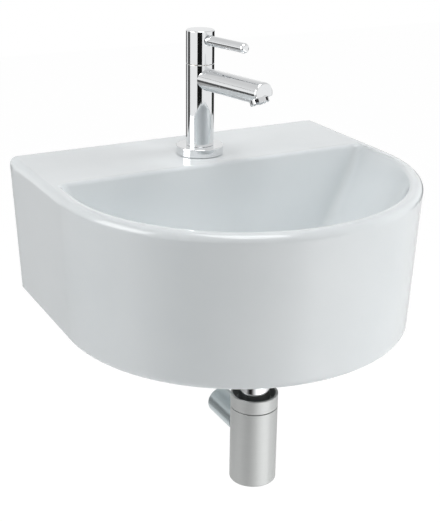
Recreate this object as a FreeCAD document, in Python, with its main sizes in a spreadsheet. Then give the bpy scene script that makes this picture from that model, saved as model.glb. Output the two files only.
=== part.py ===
import FreeCAD
import Part
import math
import operator
import os

import Sketcher

# Wall hung basin with a pillar tap, a free-flow grid waste and a bottle trap.
# Frame: +Z up, +X to the right, -Y into the room. The wall is the plane y = 0, and the origin lies
# on it midway between the two fixing studs. Millimetres.

DRIVING = {
    # ceramic
    "basin_width": 400.0,
    "straight_side": 160.0,
    "basin_height": 160.0,
    "rim_above_fixings": 70.0,
    "skirt_draft": 6.4,
    "skirt_wall": 12.0,
    "back_wall": 14.0,
    "deck_depth": 121.0,
    "deck_thickness": 14.0,
    "rim_width": 14.0,
    "rim_round": 8.0,
    "lip_round": 5.0,
    "foot_round": 3.0,
    # bowl
    "bowl_depth": 120.0,
    "bowl_wall": 10.0,
    "bowl_corner": 10.0,
    "floor_round_depth": 25.0,
    "side_lean": 0.392,
    "side_curve": 0.00214,
    "back_lean": 0.21,
    "waste_setback": 213.0,
    "drain_boss_radius": 37.0,
    "drain_boss_height": 20.0,
    "dish_radius": 40.0,
    "dish_drop": 1.5,
    "recess_radius": 33.0,
    "recess_drop": 2.5,
    "waste_hole_radius": 23.0,
    # wall fixings
    "fixing_spacing": 180.0,
    "fixing_hole_radius": 8.0,
    "stud_radius": 5.0,
    "stud_thread_radius": 4.0,
    "stud_shoulder": 0.5,
    "stud_in_wall": 60.0,
    "stud_tail": 8.0,
    "stud_cone": 8.0,
    "bush_flange_radius": 14.0,
    "bush_flange": 3.0,
    "bush_setback": 1.0,
    "fixing_washer_radius": 12.5,
    "fixing_washer": 2.0,
    "fixing_nut_flats": 17.0,
    "fixing_nut": 8.0,
    # waste
    "waste_flange_radius": 31.5,
    "waste_seal": 1.5,
    "grid_flange": 2.6,
    "grid_spigot_radius": 22.2,
    "grid_spigot_wall": 1.7,
    "grid_spigot_length": 22.0,
    "grid_hole_radius": 3.6,
    "grid_hole_circle": 14.0,
    "grid_hole_count": 8.0,
    "waste_thread_radius": 20.9,
    "waste_bore_radius": 18.4,
    "waste_tail_length": 44.0,
    "waste_flange": 3.5,
    "bridge_thickness": 5.0,
    "bridge_hub_radius": 7.0,
    "bridge_spoke_width": 5.0,
    "waste_screw_radius": 3.0,
    "waste_screw_head": 6.0,
    "waste_screw_head_height": 2.4,
    # bottle trap
    "trap_tube_radius": 17.5,
    "trap_tube_wall": 1.4,
    "trap_tube_flange": 1.8,
    "trap_nut_radius": 25.0,
    "trap_nut_height": 22.0,
    "trap_nut_lip": 3.0,
    "trap_seal": 2.0,
    "collar_top_depth": 240.0,
    "collar_height": 15.6,
    "collar_wall": 2.6,
    "bottle_radius": 26.5,
    "bottle_wall": 2.0,
    "bottle_bottom_depth": 348.0,
    "bottle_seam": 0.7,
    "bottle_round": 1.2,
    "gland_seal_height": 5.0,
    "tube_above_bottom": 24.0,
    "plug_radius": 20.0,
    "plug_height": 7.0,
    "plug_flange_radius": 22.5,
    "plug_flange": 2.2,
    "outlet_below_collar": 50.0,
    "outlet_radius": 16.0,
    "outlet_wall": 1.8,
    "outlet_step": 0.6,
    "outlet_step_at": 1.2,
    "outlet_length": 81.0,
    # tap
    "tap_setback": 75.0,
    "tap_turn": 12.5,
    "tap_hole_radius": 17.5,
    "base_ring_radius": 26.5,
    "base_ring_height": 10.0,
    "base_seal_radius": 23.0,
    "base_seal": 2.5,
    "base_lift": 0.5,
    "column_radius": 15.65,
    "column_top": 102.0,
    "head_seam": 0.7,
    "head_top": 139.0,
    "edge_round": 0.9,
    "tail_radius": 10.5,
    "shank_radius": 12.0,
    "tail_bore": 7.0,
    "tail_below_deck": 41.0,
    "tail_in_column": 20.0,
    "deck_washer_radius": 23.0,
    "deck_rubber": 3.0,
    "deck_steel": 1.5,
    "tap_nut_flats": 27.0,
    "tap_nut_height": 8.0,
    "spout_height": 86.0,
    "spout_radius": 12.25,
    "spout_wall": 2.0,
    "spout_end_wall": 3.0,
    "spout_reach": 106.0,
    "port_radius": 6.0,
    "port_drop": 5.0,
    "aerator_setback": 13.2,
    "aerator_radius": 10.2,
    "aerator_wall": 1.6,
    "aerator_drop": 15.2,
    "aerator_rise": 3.6,
    "aerator_insert": 6.0,
    "aerator_hole": 0.9,
    "aerator_hole_circle": 5.2,
    "aerator_hole_count": 8.0,
    "lever_height": 129.0,
    "lever_radius": 5.5,
    "lever_reach": 76.0,
    "lever_root": 5.0,
    "lever_round": 2.0,
    # quarter-turn cartridge
    "seat_height": 62.0,
    "seat_bore": 5.5,
    "chamber_radius": 12.0,
    "cartridge_thread": 11.0,
    "cartridge_thread_length": 10.0,
    "cartridge_skirt": 9.8,
    "cartridge_inner": 8.8,
    "cartridge_flange_radius": 13.0,
    "cartridge_flange": 1.8,
    "cartridge_hex_flats": 17.0,
    "cartridge_hex": 4.0,
    "cartridge_window": 3.2,
    "seat_seal": 1.5,
    "disc_radius": 8.5,
    "disc_thickness": 2.8,
    "disc_window": 2.4,
    "disc_window_circle": 5.2,
    "drive_plate": 2.6,
    "spindle_radius": 4.0,
    "spindle_top": 121.5,
    "oring_height": 2.0,
    "grub_height": 117.0,
    "grub_radius": 2.0,
    "grub_length": 7.5,
    "grub_socket": 1.0,
    # fits and small breaks
    "thread_end": 1.0,
    "cut_margin": 1.0,
    "thread_play": 0.06,
    "bearing_play": 0.05,
    "seat_gap": 0.05,
    "turning_gap": 0.3,
}

document = FreeCAD.newDocument("WallHungBasin")
sheet = document.addObject("Spreadsheet::Sheet", "Sizes")
BINARY = {"+": operator.add, "-": operator.sub, "*": operator.mul, "/": operator.truediv}


class Size:
    """A value that knows its number and the sheet formula that gives it."""

    def __init__(self, number, formula):
        self.number = number
        self.formula = formula

    @staticmethod
    def of(value):
        if isinstance(value, Size):
            return value
        return Size(float(value), repr(float(value)))

    def joined(self, sign, other, swapped=False):
        left, right = (Size.of(other), self) if swapped else (self, Size.of(other))
        formula = "(%s %s %s)" % (left.formula, sign, right.formula)
        return Size(BINARY[sign](left.number, right.number), formula)

    def __add__(self, other):
        return self.joined("+", other)

    def __radd__(self, other):
        return self.joined("+", other, swapped=True)

    def __sub__(self, other):
        return self.joined("-", other)

    def __rsub__(self, other):
        return self.joined("-", other, swapped=True)

    def __mul__(self, other):
        return self.joined("*", other)

    def __rmul__(self, other):
        return self.joined("*", other, swapped=True)

    def __truediv__(self, other):
        return self.joined("/", other)

    def __neg__(self):
        return self.joined("*", -1.0)


class Sizes:
    """The sheet's values as Size objects, one attribute for each alias."""

    def __init__(self, values):
        self.row = 0
        for name, value in values.items():
            self.keep(name, value)

    def keep(self, name, value):
        self.row += 1
        cell = "B%d" % self.row
        sheet.set("A%d" % self.row, name)
        sheet.set(cell, repr(value))
        sheet.setAlias(cell, name)
        setattr(self, name, Size(float(value), "Sizes." + name))
        return getattr(self, name)


size = Sizes(DRIVING)
ZERO = Size.of(0.0)
SQRT_3 = math.sqrt(3.0)
MARGIN = size.cut_margin
BREAK = size.thread_end
TOUCH = 1e-3


def sine(angle):
    return Size(math.sin(math.radians(angle.number)), "sin(%s * 1 deg)" % angle.formula)


def cosine(angle):
    return Size(math.cos(math.radians(angle.number)), "cos(%s * 1 deg)" % angle.formula)


# ---------------------------------------------------------------- bodies, sketches and features

def new_body(label, at=(ZERO, ZERO, ZERO), turn=None):
    """An empty body with its place bound to the sheet, turned about +Z where turn is given."""
    body = document.addObject("PartDesign::Body", label)
    body.Label = label
    if turn is not None:
        body.Placement = FreeCAD.Placement(FreeCAD.Vector(), FreeCAD.Rotation(FreeCAD.Vector(0, 0, 1), turn.number))
        body.setExpression("Placement.Rotation.Angle", turn.formula + " * 1 deg")
    for axis, value in zip("xyz", at):
        body.setExpression("Placement.Base." + axis, value.formula)
    return body


def add_sketch(body, role, offset=ZERO):
    """A sketch on one of the body's origin planes, moved along the plane's normal by offset."""
    sketch = body.newObject("Sketcher::SketchObject", body.Label + "_sketch")
    plane = next(item for item in body.Origin.OriginFeatures if item.Role == role)
    sketch.AttachmentSupport = (plane, [""])
    sketch.MapMode = "FlatFace"
    sketch.setExpression("AttachmentOffset.Base.z", offset.formula)
    return sketch


def hold_coordinate(sketch, kind, geometry, position, value):
    """Holds one coordinate of a point at a sheet value, or on the axis where it is zero."""
    if value is ZERO:
        axis = -2 if kind == "DistanceX" else -1
        sketch.addConstraint(Sketcher.Constraint("PointOnObject", geometry, position, axis))
        return
    constraint = Sketcher.Constraint(kind, -1, 1, geometry, position, value.number)
    index = sketch.addConstraint(constraint)
    sketch.setExpression("Constraints[%d]" % index, value.formula)


def draw_outline(sketch, corners):
    """A closed outline. A corner is (x, y), or (x, y, centre_x, centre_y) where an arc leaves it."""
    first_new = sketch.GeometryCount
    points = [FreeCAD.Vector(corner[0].number, corner[1].number, 0) for corner in corners]
    ends = []
    for index, corner in enumerate(corners):
        start = points[index]
        finish = points[(index + 1) % len(corners)]
        if len(corner) == 2:
            sketch.addGeometry(Part.LineSegment(start, finish), False)
            ends.append((1, 2))
            continue
        centre = FreeCAD.Vector(corner[2].number, corner[3].number, 0)
        turns_left = (start - centre).cross(finish - centre).z > 0
        first, last = (start, finish) if turns_left else (finish, start)
        circle = Part.Circle(centre, FreeCAD.Vector(0, 0, 1), (start - centre).Length)
        angles = [math.atan2(end.y - centre.y, end.x - centre.x) for end in (first, last)]
        sketch.addGeometry(Part.ArcOfCircle(circle, angles[0], angles[1]), False)
        ends.append((1, 2) if turns_left else (2, 1))
    for index, corner in enumerate(corners):
        edge = first_new + index
        following = (index + 1) % len(corners)
        meeting = Sketcher.Constraint(
            "Coincident", edge, ends[index][1], first_new + following, ends[following][0])
        sketch.addConstraint(meeting)
        hold_coordinate(sketch, "DistanceX", edge, ends[index][0], corner[0])
        hold_coordinate(sketch, "DistanceY", edge, ends[index][0], corner[1])
        if len(corner) == 4:
            chord = points[following] - points[index]
            if abs(chord.y) >= abs(chord.x):
                hold_coordinate(sketch, "DistanceX", edge, 3, corner[2])
            else:
                hold_coordinate(sketch, "DistanceY", edge, 3, corner[3])


def draw_circle(sketch, radius, x=ZERO, y=ZERO):
    centre = FreeCAD.Vector(x.number, y.number, 0)
    circle = Part.Circle(centre, FreeCAD.Vector(0, 0, 1), radius.number)
    edge = sketch.addGeometry(circle, False)
    hold_coordinate(sketch, "DistanceX", edge, 3, x)
    hold_coordinate(sketch, "DistanceY", edge, 3, y)
    index = sketch.addConstraint(Sketcher.Constraint("Radius", edge, radius.number))
    sketch.setExpression("Constraints[%d]" % index, radius.formula)


def draw_hexagon(sketch, flats):
    half = flats / 2
    corner = flats / SQRT_3
    draw_outline(sketch, [
        (corner, ZERO), (corner / 2, half), (-corner / 2, half),
        (-corner, ZERO), (-corner / 2, -half), (corner / 2, -half)])


def pad(body, sketch, length, reversed_way=False):
    feature = body.newObject("PartDesign::Pad", body.Label + "_pad")
    feature.Profile = sketch
    feature.Reversed = reversed_way
    feature.setExpression("Length", length.formula)
    body.Tip = feature
    return feature


def must_shrink(body, feature):
    """Stops the build if a cut took nothing away."""
    document.recompute()
    if not feature.Shape.Volume < feature.BaseFeature.Shape.Volume - 1e-3:
        raise RuntimeError("%s: %s cuts nothing" % (body.Label, feature.Name))
    return feature


def pocket(body, sketch, depth, along_normal=False):
    """Cuts the sketch into the body, against the sketch's normal unless along_normal is set."""
    feature = body.newObject("PartDesign::Pocket", body.Label + "_pocket")
    feature.Profile = sketch
    feature.Reversed = along_normal
    feature.setExpression("Length", depth.formula)
    body.Tip = feature
    return must_shrink(body, feature)


def revolution(body, sketch):
    feature = body.newObject("PartDesign::Revolution", body.Label + "_revolution")
    feature.Profile = sketch
    feature.ReferenceAxis = (sketch, ["V_Axis"])
    feature.Angle = 360.0
    body.Tip = feature
    return feature


def groove(body, sketch):
    feature = body.newObject("PartDesign::Groove", body.Label + "_groove")
    feature.Profile = sketch
    feature.ReferenceAxis = (sketch, ["V_Axis"])
    feature.Angle = 360.0
    body.Tip = feature
    return must_shrink(body, feature)


def around(body, feature, sketch, count):
    """Repeats a cut round the sketch's normal."""
    pattern = body.newObject("PartDesign::PolarPattern", body.Label + "_pattern")
    pattern.Originals = [feature]
    pattern.Axis = (sketch, ["N_Axis"])
    pattern.Angle = 360.0
    pattern.setExpression("Occurrences", count.formula)
    body.Tip = pattern
    document.recompute()
    return pattern


def loft(body, kind, sketches):
    feature = body.newObject("PartDesign::" + kind, body.Label + "_loft")
    feature.Profile = sketches[0]
    feature.Sections = sketches[1:]
    feature.Ruled = len(sketches) == 2
    body.Tip = feature
    return feature


def fillet(body, radius, chosen):
    """Rounds the edges of the body's last shape that the test picks."""
    document.recompute()
    base = body.Tip
    names = []
    for index, edge in enumerate(base.Shape.Edges):
        if chosen(edge):
            names.append("Edge%d" % (index + 1))
    if not names:
        raise RuntimeError("%s: no edge to round" % body.Label)
    feature = body.newObject("PartDesign::Fillet", body.Label + "_fillet")
    feature.Base = (base, names)
    feature.setExpression("Radius", radius.formula)
    body.Tip = feature
    document.recompute()
    return feature


def turned(label, corners, at=(ZERO, ZERO, ZERO), turn=None, role="XZ_Plane"):
    """A turned piece: corners are (radius, along), spun about the plane's vertical axis."""
    body = new_body(label, at, turn)
    sketch = add_sketch(body, role)
    draw_outline(sketch, corners)
    revolution(body, sketch)
    return body


def tube(label, inner, outer, low, high, at, turn=None, role="XZ_Plane"):
    corners = [(inner, low), (outer, low), (outer, high), (inner, high)]
    return turned(label, corners, at, turn, role)


def all_on_level(edge, level):
    box = edge.BoundBox
    return abs(box.ZMin - level) < 1e-3 and abs(box.ZMax - level) < 1e-3


# ---------------------------------------------------------------- basin

RIM = size.rim_above_fixings
FRONT_CENTRE = -size.straight_side
BASIN_DEPTH = size.straight_side + size.basin_width / 2
HALF_OPENING = size.basin_width / 2 - size.rim_width
BOWL_BOTTOM = size.bowl_depth + size.bowl_wall
BOSS_BOTTOM = size.bowl_depth + size.bowl_wall + size.drain_boss_height
WASTE_AT = (ZERO, -size.waste_setback, RIM)


def d_outline(half, back, centre, corner=None):
    """A D seen from above: straight back and sides, and a half round front about (0, centre)."""
    front = [
        (half, centre, ZERO, centre),
        (ZERO, centre - half, ZERO, centre),
        (-half, centre)]
    if corner is None:
        return [(-half, back), (half, back)] + front
    inner = half - corner
    below = back - corner
    return [
        (-inner, back),
        (inner, back, inner, below),
        (half, below)] + front + [(-half, below, -inner, below)]


def bowl_section(index, depth, rounding):
    """Half width, back and front centre of the bowl at a depth; rounding draws it in to the floor."""
    inset = DRIVING["side_lean"] * depth + DRIVING["side_curve"] * depth * depth
    half = HALF_OPENING.number - inset - rounding
    back = -DRIVING["deck_depth"] - DRIVING["back_lean"] * depth - rounding / 2
    centre = FRONT_CENTRE.number - rounding / 2
    return [
        size.keep("bowl_depth_%d" % index, depth),
        size.keep("bowl_half_%d" % index, half),
        size.keep("bowl_back_%d" % index, back),
        size.keep("bowl_centre_%d" % index, centre)]


def bowl_sections():
    """The bowl's levels: leaning walls, then a round that runs out level at the floor."""
    wall_end = DRIVING["bowl_depth"] - DRIVING["floor_round_depth"]
    lean = math.atan(DRIVING["side_lean"] + 2 * DRIVING["side_curve"] * wall_end)
    radius = DRIVING["floor_round_depth"] / (1 - math.sin(lean))
    levels = [(wall_end * share, 0.0) for share in (0.0, 1 / 3, 2 / 3, 1.0)]
    wall_inset = DRIVING["side_lean"] * wall_end + DRIVING["side_curve"] * wall_end ** 2
    for share in (1 / 3, 2 / 3, 1.0):
        slope = lean + (math.pi / 2 - lean) * share
        depth = wall_end + radius * (math.sin(slope) - math.sin(lean))
        inset = radius * (math.cos(lean) - math.cos(slope))
        leaning = DRIVING["side_lean"] * depth + DRIVING["side_curve"] * depth ** 2
        levels.append((depth, inset - (leaning - wall_inset)))
    return [bowl_section(index, *level) for index, level in enumerate(levels)]


def make_basin():
    body = new_body("basin", (ZERO, ZERO, RIM))
    half = size.basin_width / 2
    draft = size.skirt_draft
    top = add_sketch(body, "XY_Plane")
    draw_outline(top, d_outline(half, MARGIN, FRONT_CENTRE))
    foot = add_sketch(body, "XY_Plane", -size.basin_height)
    draw_outline(foot, d_outline(half - draft, MARGIN, FRONT_CENTRE))
    loft(body, "AdditiveLoft", [top, foot])
    ground_back = add_sketch(body, "XZ_Plane")
    draw_outline(ground_back, [
        (-half - MARGIN, -size.basin_height - MARGIN), (half + MARGIN, -size.basin_height - MARGIN),
        (half + MARGIN, MARGIN), (-half - MARGIN, MARGIN)])
    pocket(body, ground_back, 2 * MARGIN)

    wall = size.skirt_wall
    under_top = add_sketch(body, "XY_Plane", -size.deck_thickness)
    draw_outline(under_top, d_outline(half - wall, -size.back_wall, FRONT_CENTRE))
    under_foot = add_sketch(body, "XY_Plane", -size.basin_height)
    draw_outline(under_foot, d_outline(half - draft - wall, -size.back_wall, FRONT_CENTRE))
    must_shrink(body, loft(body, "SubtractiveLoft", [under_top, under_foot]))

    sections = bowl_sections()
    shell = []
    hollow = []
    for index, (depth, half_k, back, centre) in enumerate(sections):
        lowered = depth + size.bowl_wall if index else size.deck_thickness / 2
        sketch = add_sketch(body, "XY_Plane", -lowered)
        outer = d_outline(half_k + size.bowl_wall, back + size.bowl_wall, centre,
                          size.bowl_corner + size.bowl_wall)
        draw_outline(sketch, outer)
        shell.append(sketch)
    loft(body, "AdditiveLoft", shell)
    boss = add_sketch(body, "XY_Plane", -BOSS_BOTTOM)
    draw_circle(boss, size.drain_boss_radius, ZERO, -size.waste_setback)
    pad(body, boss, size.drain_boss_height + size.bowl_wall / 2)
    for depth, half_k, back, centre in sections:
        sketch = add_sketch(body, "XY_Plane", -depth)
        draw_outline(sketch, d_outline(half_k, back, centre, size.bowl_corner))
        hollow.append(sketch)
    must_shrink(body, loft(body, "SubtractiveLoft", hollow))

    drain = add_sketch(body, "XZ_Plane", size.waste_setback)
    floor = -size.bowl_depth
    dish = floor - size.dish_drop
    recess = dish - size.recess_drop
    draw_outline(drain, [
        (ZERO, floor), (size.dish_radius, floor), (size.recess_radius, dish),
        (size.recess_radius, recess), (size.waste_hole_radius, recess),
        (size.waste_hole_radius, -BOSS_BOTTOM - MARGIN), (ZERO, -BOSS_BOTTOM - MARGIN)])
    groove(body, drain)

    tap_hole = add_sketch(body, "XY_Plane")
    draw_circle(tap_hole, size.tap_hole_radius, ZERO, -size.tap_setback)
    pocket(body, tap_hole, size.deck_thickness + MARGIN)
    fixing_holes = add_sketch(body, "XZ_Plane")
    for side in (-1, 1):
        draw_circle(fixing_holes, size.fixing_hole_radius, side * size.fixing_spacing / 2, -RIM)
    pocket(body, fixing_holes, size.back_wall + MARGIN, along_normal=True)

    def on_d(edge, level, half_width):
        """Whether an edge lies on the sides or front of a D of that half width, at that level."""
        if not all_on_level(edge, level):
            return False
        for vertex in edge.Vertexes:
            beyond = min(vertex.Y - FRONT_CENTRE.number, 0.0)
            if abs(math.hypot(vertex.X, beyond) - half_width) > TOUCH:
                return False
        return min(vertex.Y for vertex in edge.Vertexes) < -TOUCH

    def opening_edge(edge):
        in_front = edge.BoundBox.YMax < TOUCH - size.deck_depth.number
        reach = max(math.hypot(v.X, min(v.Y - FRONT_CENTRE.number, 0.0)) for v in edge.Vertexes)
        return all_on_level(edge, 0.0) and in_front and reach < HALF_OPENING.number + TOUCH

    def outer_rim_edge(edge):
        return on_d(edge, 0.0, half.number)

    def foot_edge(edge):
        return on_d(edge, -size.basin_height.number, (half - draft).number)

    fillet(body, size.lip_round, opening_edge)
    fillet(body, size.rim_round, outer_rim_edge)
    fillet(body, size.foot_round, foot_edge)


# ---------------------------------------------------------------- wall fixings

def paired(label, body):
    """The piece at the right-hand stud and its mirror image at the left one, in one node."""
    body.Label = label + "_right"
    mirror = document.addObject("Part::Mirroring", label + "_left")
    mirror.Source = body
    mirror.Normal = (1, 0, 0)
    pair = document.addObject("Part::Compound", label)
    pair.Label = label
    pair.Links = [body, mirror]


def make_fixings():
    at = (size.fixing_spacing / 2, ZERO, ZERO)
    stud = size.stud_thread_radius
    bush_end = -size.back_wall
    flange_end = bush_end - size.bush_flange
    washer_end = flange_end - size.fixing_washer
    nut_end = washer_end - size.fixing_nut
    tip = nut_end - size.stud_tail
    paired("hanger_bolts", turned("hanger_bolt", [
        (ZERO, tip), (stud - BREAK, tip), (stud, tip + BREAK), (stud, -size.stud_shoulder),
        (size.stud_radius, -size.stud_shoulder),
        (size.stud_radius, size.stud_in_wall - size.stud_cone), (ZERO, size.stud_in_wall)],
        at, role="XY_Plane"))
    bore = stud + size.thread_play
    sleeve = size.fixing_hole_radius - size.seat_gap
    paired("fixing_bushes", turned("fixing_bush", [
        (bore, -size.bush_setback), (bore, flange_end), (size.bush_flange_radius, flange_end),
        (size.bush_flange_radius, bush_end - size.seat_gap), (sleeve, bush_end - size.seat_gap),
        (sleeve, -size.bush_setback)], at, role="XY_Plane"))
    paired("fixing_washers", tube(
        "fixing_washer", bore, size.fixing_washer_radius, washer_end, flange_end, at,
        role="XY_Plane"))
    nut = new_body("fixing_nut", at)
    outline = add_sketch(nut, "XZ_Plane", -washer_end)
    draw_hexagon(outline, size.fixing_nut_flats)
    draw_circle(outline, bore)
    pad(nut, outline, size.fixing_nut)
    paired("fixing_nuts", nut)


# ---------------------------------------------------------------- waste

FLOOR_SEAT = -(size.bowl_depth + size.dish_drop + size.recess_drop)
GRID_UNDER = FLOOR_SEAT + size.waste_seal
GRID_TOP = GRID_UNDER + size.grid_flange
WASTE_UNDER = -BOSS_BOTTOM - size.waste_seal
WASTE_END = WASTE_UNDER - size.waste_flange - size.waste_tail_length


def make_waste():
    hole = size.waste_hole_radius
    flange = size.waste_flange_radius
    spigot = size.grid_spigot_radius
    tube("waste_seal_top", hole, flange - BREAK, FLOOR_SEAT, GRID_UNDER, WASTE_AT)
    tube("waste_seal_under", hole, flange - BREAK, WASTE_UNDER, -BOSS_BOTTOM, WASTE_AT)

    lining = spigot - size.grid_spigot_wall
    spigot_end = GRID_UNDER - size.grid_spigot_length
    under_plate = GRID_TOP - size.grid_flange
    grid = turned("waste_grid", [
        (ZERO, under_plate), (lining, under_plate), (lining, spigot_end), (spigot, spigot_end),
        (spigot, under_plate), (flange, under_plate), (flange, GRID_TOP - BREAK),
        (flange - BREAK, GRID_TOP), (ZERO, GRID_TOP)], WASTE_AT)
    first_hole = add_sketch(grid, "XY_Plane", GRID_TOP)
    draw_circle(first_hole, size.grid_hole_radius, size.grid_hole_circle, ZERO)
    cut = pocket(grid, first_hole, size.grid_flange)
    around(grid, cut, first_hole, size.grid_hole_count)
    screw_seat = add_sketch(grid, "XZ_Plane")
    head_under = GRID_TOP - size.waste_screw_head_height
    clear = size.waste_screw_radius + size.turning_gap
    seat = size.waste_screw_head + size.seat_gap
    draw_outline(screw_seat, [
        (ZERO, under_plate - MARGIN), (clear, under_plate - MARGIN), (clear, head_under),
        (seat, GRID_TOP + size.seat_gap), (seat, GRID_TOP + MARGIN), (ZERO, GRID_TOP + MARGIN)])
    groove(grid, screw_seat)

    bridge_top = WASTE_UNDER
    bridge_under = bridge_top - size.bridge_thickness
    screw_end = bridge_under - size.waste_screw_radius
    screw = turned("waste_screw", [
        (ZERO, screw_end), (size.waste_screw_radius, screw_end),
        (size.waste_screw_radius, head_under), (size.waste_screw_head, GRID_TOP),
        (ZERO, GRID_TOP)], WASTE_AT)
    slot = add_sketch(screw, "XY_Plane", GRID_TOP)
    reach = size.waste_screw_head
    slit = size.waste_screw_radius / 4
    draw_outline(slot, [(-reach, -slit), (reach, -slit), (reach, slit), (-reach, slit)])
    pocket(screw, slot, size.waste_screw_head_height / 2)

    thread = size.waste_thread_radius
    bore = size.waste_bore_radius
    flange_under = WASTE_UNDER - size.waste_flange
    tail = turned("waste_body", [
        (bore, WASTE_END), (thread - BREAK, WASTE_END), (thread, WASTE_END + BREAK),
        (thread, flange_under),
        (flange, flange_under), (flange, WASTE_UNDER), (bore, WASTE_UNDER)], WASTE_AT)
    spokes = add_sketch(tail, "XY_Plane", bridge_under)
    half_spoke = size.bridge_spoke_width / 2
    arm = (bore + thread) / 2
    draw_outline(spokes, [
        (-half_spoke, -arm), (half_spoke, -arm), (half_spoke, -half_spoke), (arm, -half_spoke),
        (arm, half_spoke), (half_spoke, half_spoke), (half_spoke, arm), (-half_spoke, arm),
        (-half_spoke, half_spoke), (-arm, half_spoke), (-arm, -half_spoke),
        (-half_spoke, -half_spoke)])
    pad(tail, spokes, size.bridge_thickness)
    hub = add_sketch(tail, "XY_Plane", bridge_under)
    draw_circle(hub, size.bridge_hub_radius)
    pad(tail, hub, size.bridge_thickness)
    screw_hole = add_sketch(tail, "XY_Plane", bridge_top)
    draw_circle(screw_hole, size.waste_screw_radius + size.thread_play)
    pocket(tail, screw_hole, size.bridge_thickness)


# ---------------------------------------------------------------- bottle trap

TRAP_FLANGE_TOP = WASTE_END - size.trap_seal
COLLAR_TOP = -size.collar_top_depth
COLLAR_UNDER = COLLAR_TOP - size.collar_height
OUTLET_DEPTH = size.collar_top_depth + size.outlet_below_collar
BOTTLE_TOP = COLLAR_UNDER - size.bottle_seam
BOTTLE_END = -size.bottle_bottom_depth


def make_trap():
    tube_r = size.trap_tube_radius
    thread = size.waste_thread_radius
    flange_under = TRAP_FLANGE_TOP - size.trap_tube_flange
    nut_under = flange_under - size.trap_nut_lip
    nut_top = nut_under + size.trap_nut_height
    nut_bore = thread + size.thread_play
    nut_r = size.trap_nut_radius
    round_r = size.edge_round
    turned("trap_inlet_nut", [
        (tube_r + size.seat_gap, nut_under), (nut_r - round_r, nut_under),
        (nut_r, nut_under + round_r), (nut_r, nut_top - round_r), (nut_r - round_r, nut_top),
        (nut_bore, nut_top), (nut_bore, flange_under), (tube_r + size.seat_gap, flange_under)],
        WASTE_AT)
    tube_bore = tube_r - size.trap_tube_wall
    tube("trap_inlet_seal", tube_bore, thread - size.seat_gap, TRAP_FLANGE_TOP, WASTE_END, WASTE_AT)
    tube_end = BOTTLE_END + size.tube_above_bottom
    turned("trap_inlet_tube", [
        (tube_bore, tube_end), (tube_r, tube_end), (tube_r, flange_under),
        (thread - size.seat_gap, flange_under), (thread - size.seat_gap, TRAP_FLANGE_TOP),
        (tube_bore, TRAP_FLANGE_TOP)], WASTE_AT)

    bottle = size.bottle_radius
    collar_bore = bottle - size.collar_wall
    lip_top = COLLAR_UNDER + size.collar_wall
    neck = collar_bore - size.turning_gap
    gland = tube_r + size.seat_gap
    turned("trap_collar", [
        (gland, COLLAR_UNDER), (bottle - round_r, COLLAR_UNDER), (bottle, COLLAR_UNDER + round_r),
        (bottle, COLLAR_TOP - round_r), (bottle - round_r, COLLAR_TOP),
        (collar_bore, COLLAR_TOP), (collar_bore, lip_top), (gland, lip_top)], WASTE_AT)
    shelf = BOTTLE_TOP - size.gland_seal_height
    tube("trap_gland_seal", gland, neck - size.seat_gap, shelf, COLLAR_UNDER, WASTE_AT)

    inside = bottle - size.bottle_wall
    shelf_under = shelf - size.bottle_wall
    floor_top = BOTTLE_END + size.plug_height
    plug = size.plug_radius + size.thread_play
    recess = size.plug_flange_radius + size.turning_gap
    recess_top = BOTTLE_END + size.plug_flange + size.waste_seal
    round_b = size.bottle_round
    body = turned("trap_body", [
        (plug, recess_top), (recess, recess_top), (recess, BOTTLE_END),
        (bottle - round_b, BOTTLE_END, bottle - round_b, BOTTLE_END + round_b),
        (bottle, BOTTLE_END + round_b), (bottle, BOTTLE_TOP - round_r),
        (bottle - round_r, BOTTLE_TOP), (neck, BOTTLE_TOP), (neck, shelf),
        (gland + size.turning_gap, shelf), (gland + size.turning_gap, shelf_under),
        (inside, shelf_under), (inside, floor_top), (plug, floor_top)], WASTE_AT)
    port = add_sketch(body, "XZ_Plane")
    root = size.outlet_radius - size.outlet_step
    draw_circle(port, root + size.seat_gap, ZERO, -OUTLET_DEPTH)
    pocket(body, port, bottle + MARGIN)

    plug_r = size.plug_radius
    flange_top = BOTTLE_END + size.plug_flange
    key = size.plug_radius / 3
    base_plug = turned("trap_base_plug", [
        (ZERO, BOTTLE_END), (size.plug_flange_radius - round_r, BOTTLE_END),
        (size.plug_flange_radius, BOTTLE_END + round_r), (size.plug_flange_radius, flange_top),
        (plug_r, flange_top), (plug_r, floor_top), (ZERO, floor_top)], WASTE_AT)
    slot = add_sketch(base_plug, "XY_Plane", BOTTLE_END)
    slit = size.plug_flange
    draw_outline(slot, [(-key * 2, -slit), (key * 2, -slit), (key * 2, slit), (-key * 2, slit)])
    pocket(base_plug, slot, size.plug_flange, along_normal=True)
    tube("trap_plug_seal", plug_r + size.thread_play, size.plug_flange_radius - size.seat_gap,
         flange_top, recess_top, WASTE_AT)

    outlet = size.outlet_radius
    outlet_at = (ZERO, -size.waste_setback, RIM - OUTLET_DEPTH)
    step = bottle + size.outlet_step_at
    bore = outlet - size.outlet_wall
    pipe = turned("outlet_tube", [
        (bore, ZERO), (root, ZERO), (root, step), (outlet, step), (outlet, size.outlet_length),
        (bore, size.outlet_length)], outlet_at, role="XY_Plane")
    mouth = add_sketch(pipe, "XY_Plane", -outlet - MARGIN)
    draw_circle(mouth, inside + size.seat_gap)
    pocket(pipe, mouth, 2 * (outlet + MARGIN), along_normal=True)


# ---------------------------------------------------------------- tap

TAP_AT = (ZERO, -size.tap_setback, RIM)
TURN = size.tap_turn
SPOUT_END = size.spout_reach - size.aerator_setback
HEAD_UNDER = size.column_top + size.head_seam
RING_UNDER = size.base_lift
RING_TOP = size.base_ring_height
THREAD_LOW = size.column_top - size.cartridge_thread_length


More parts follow.
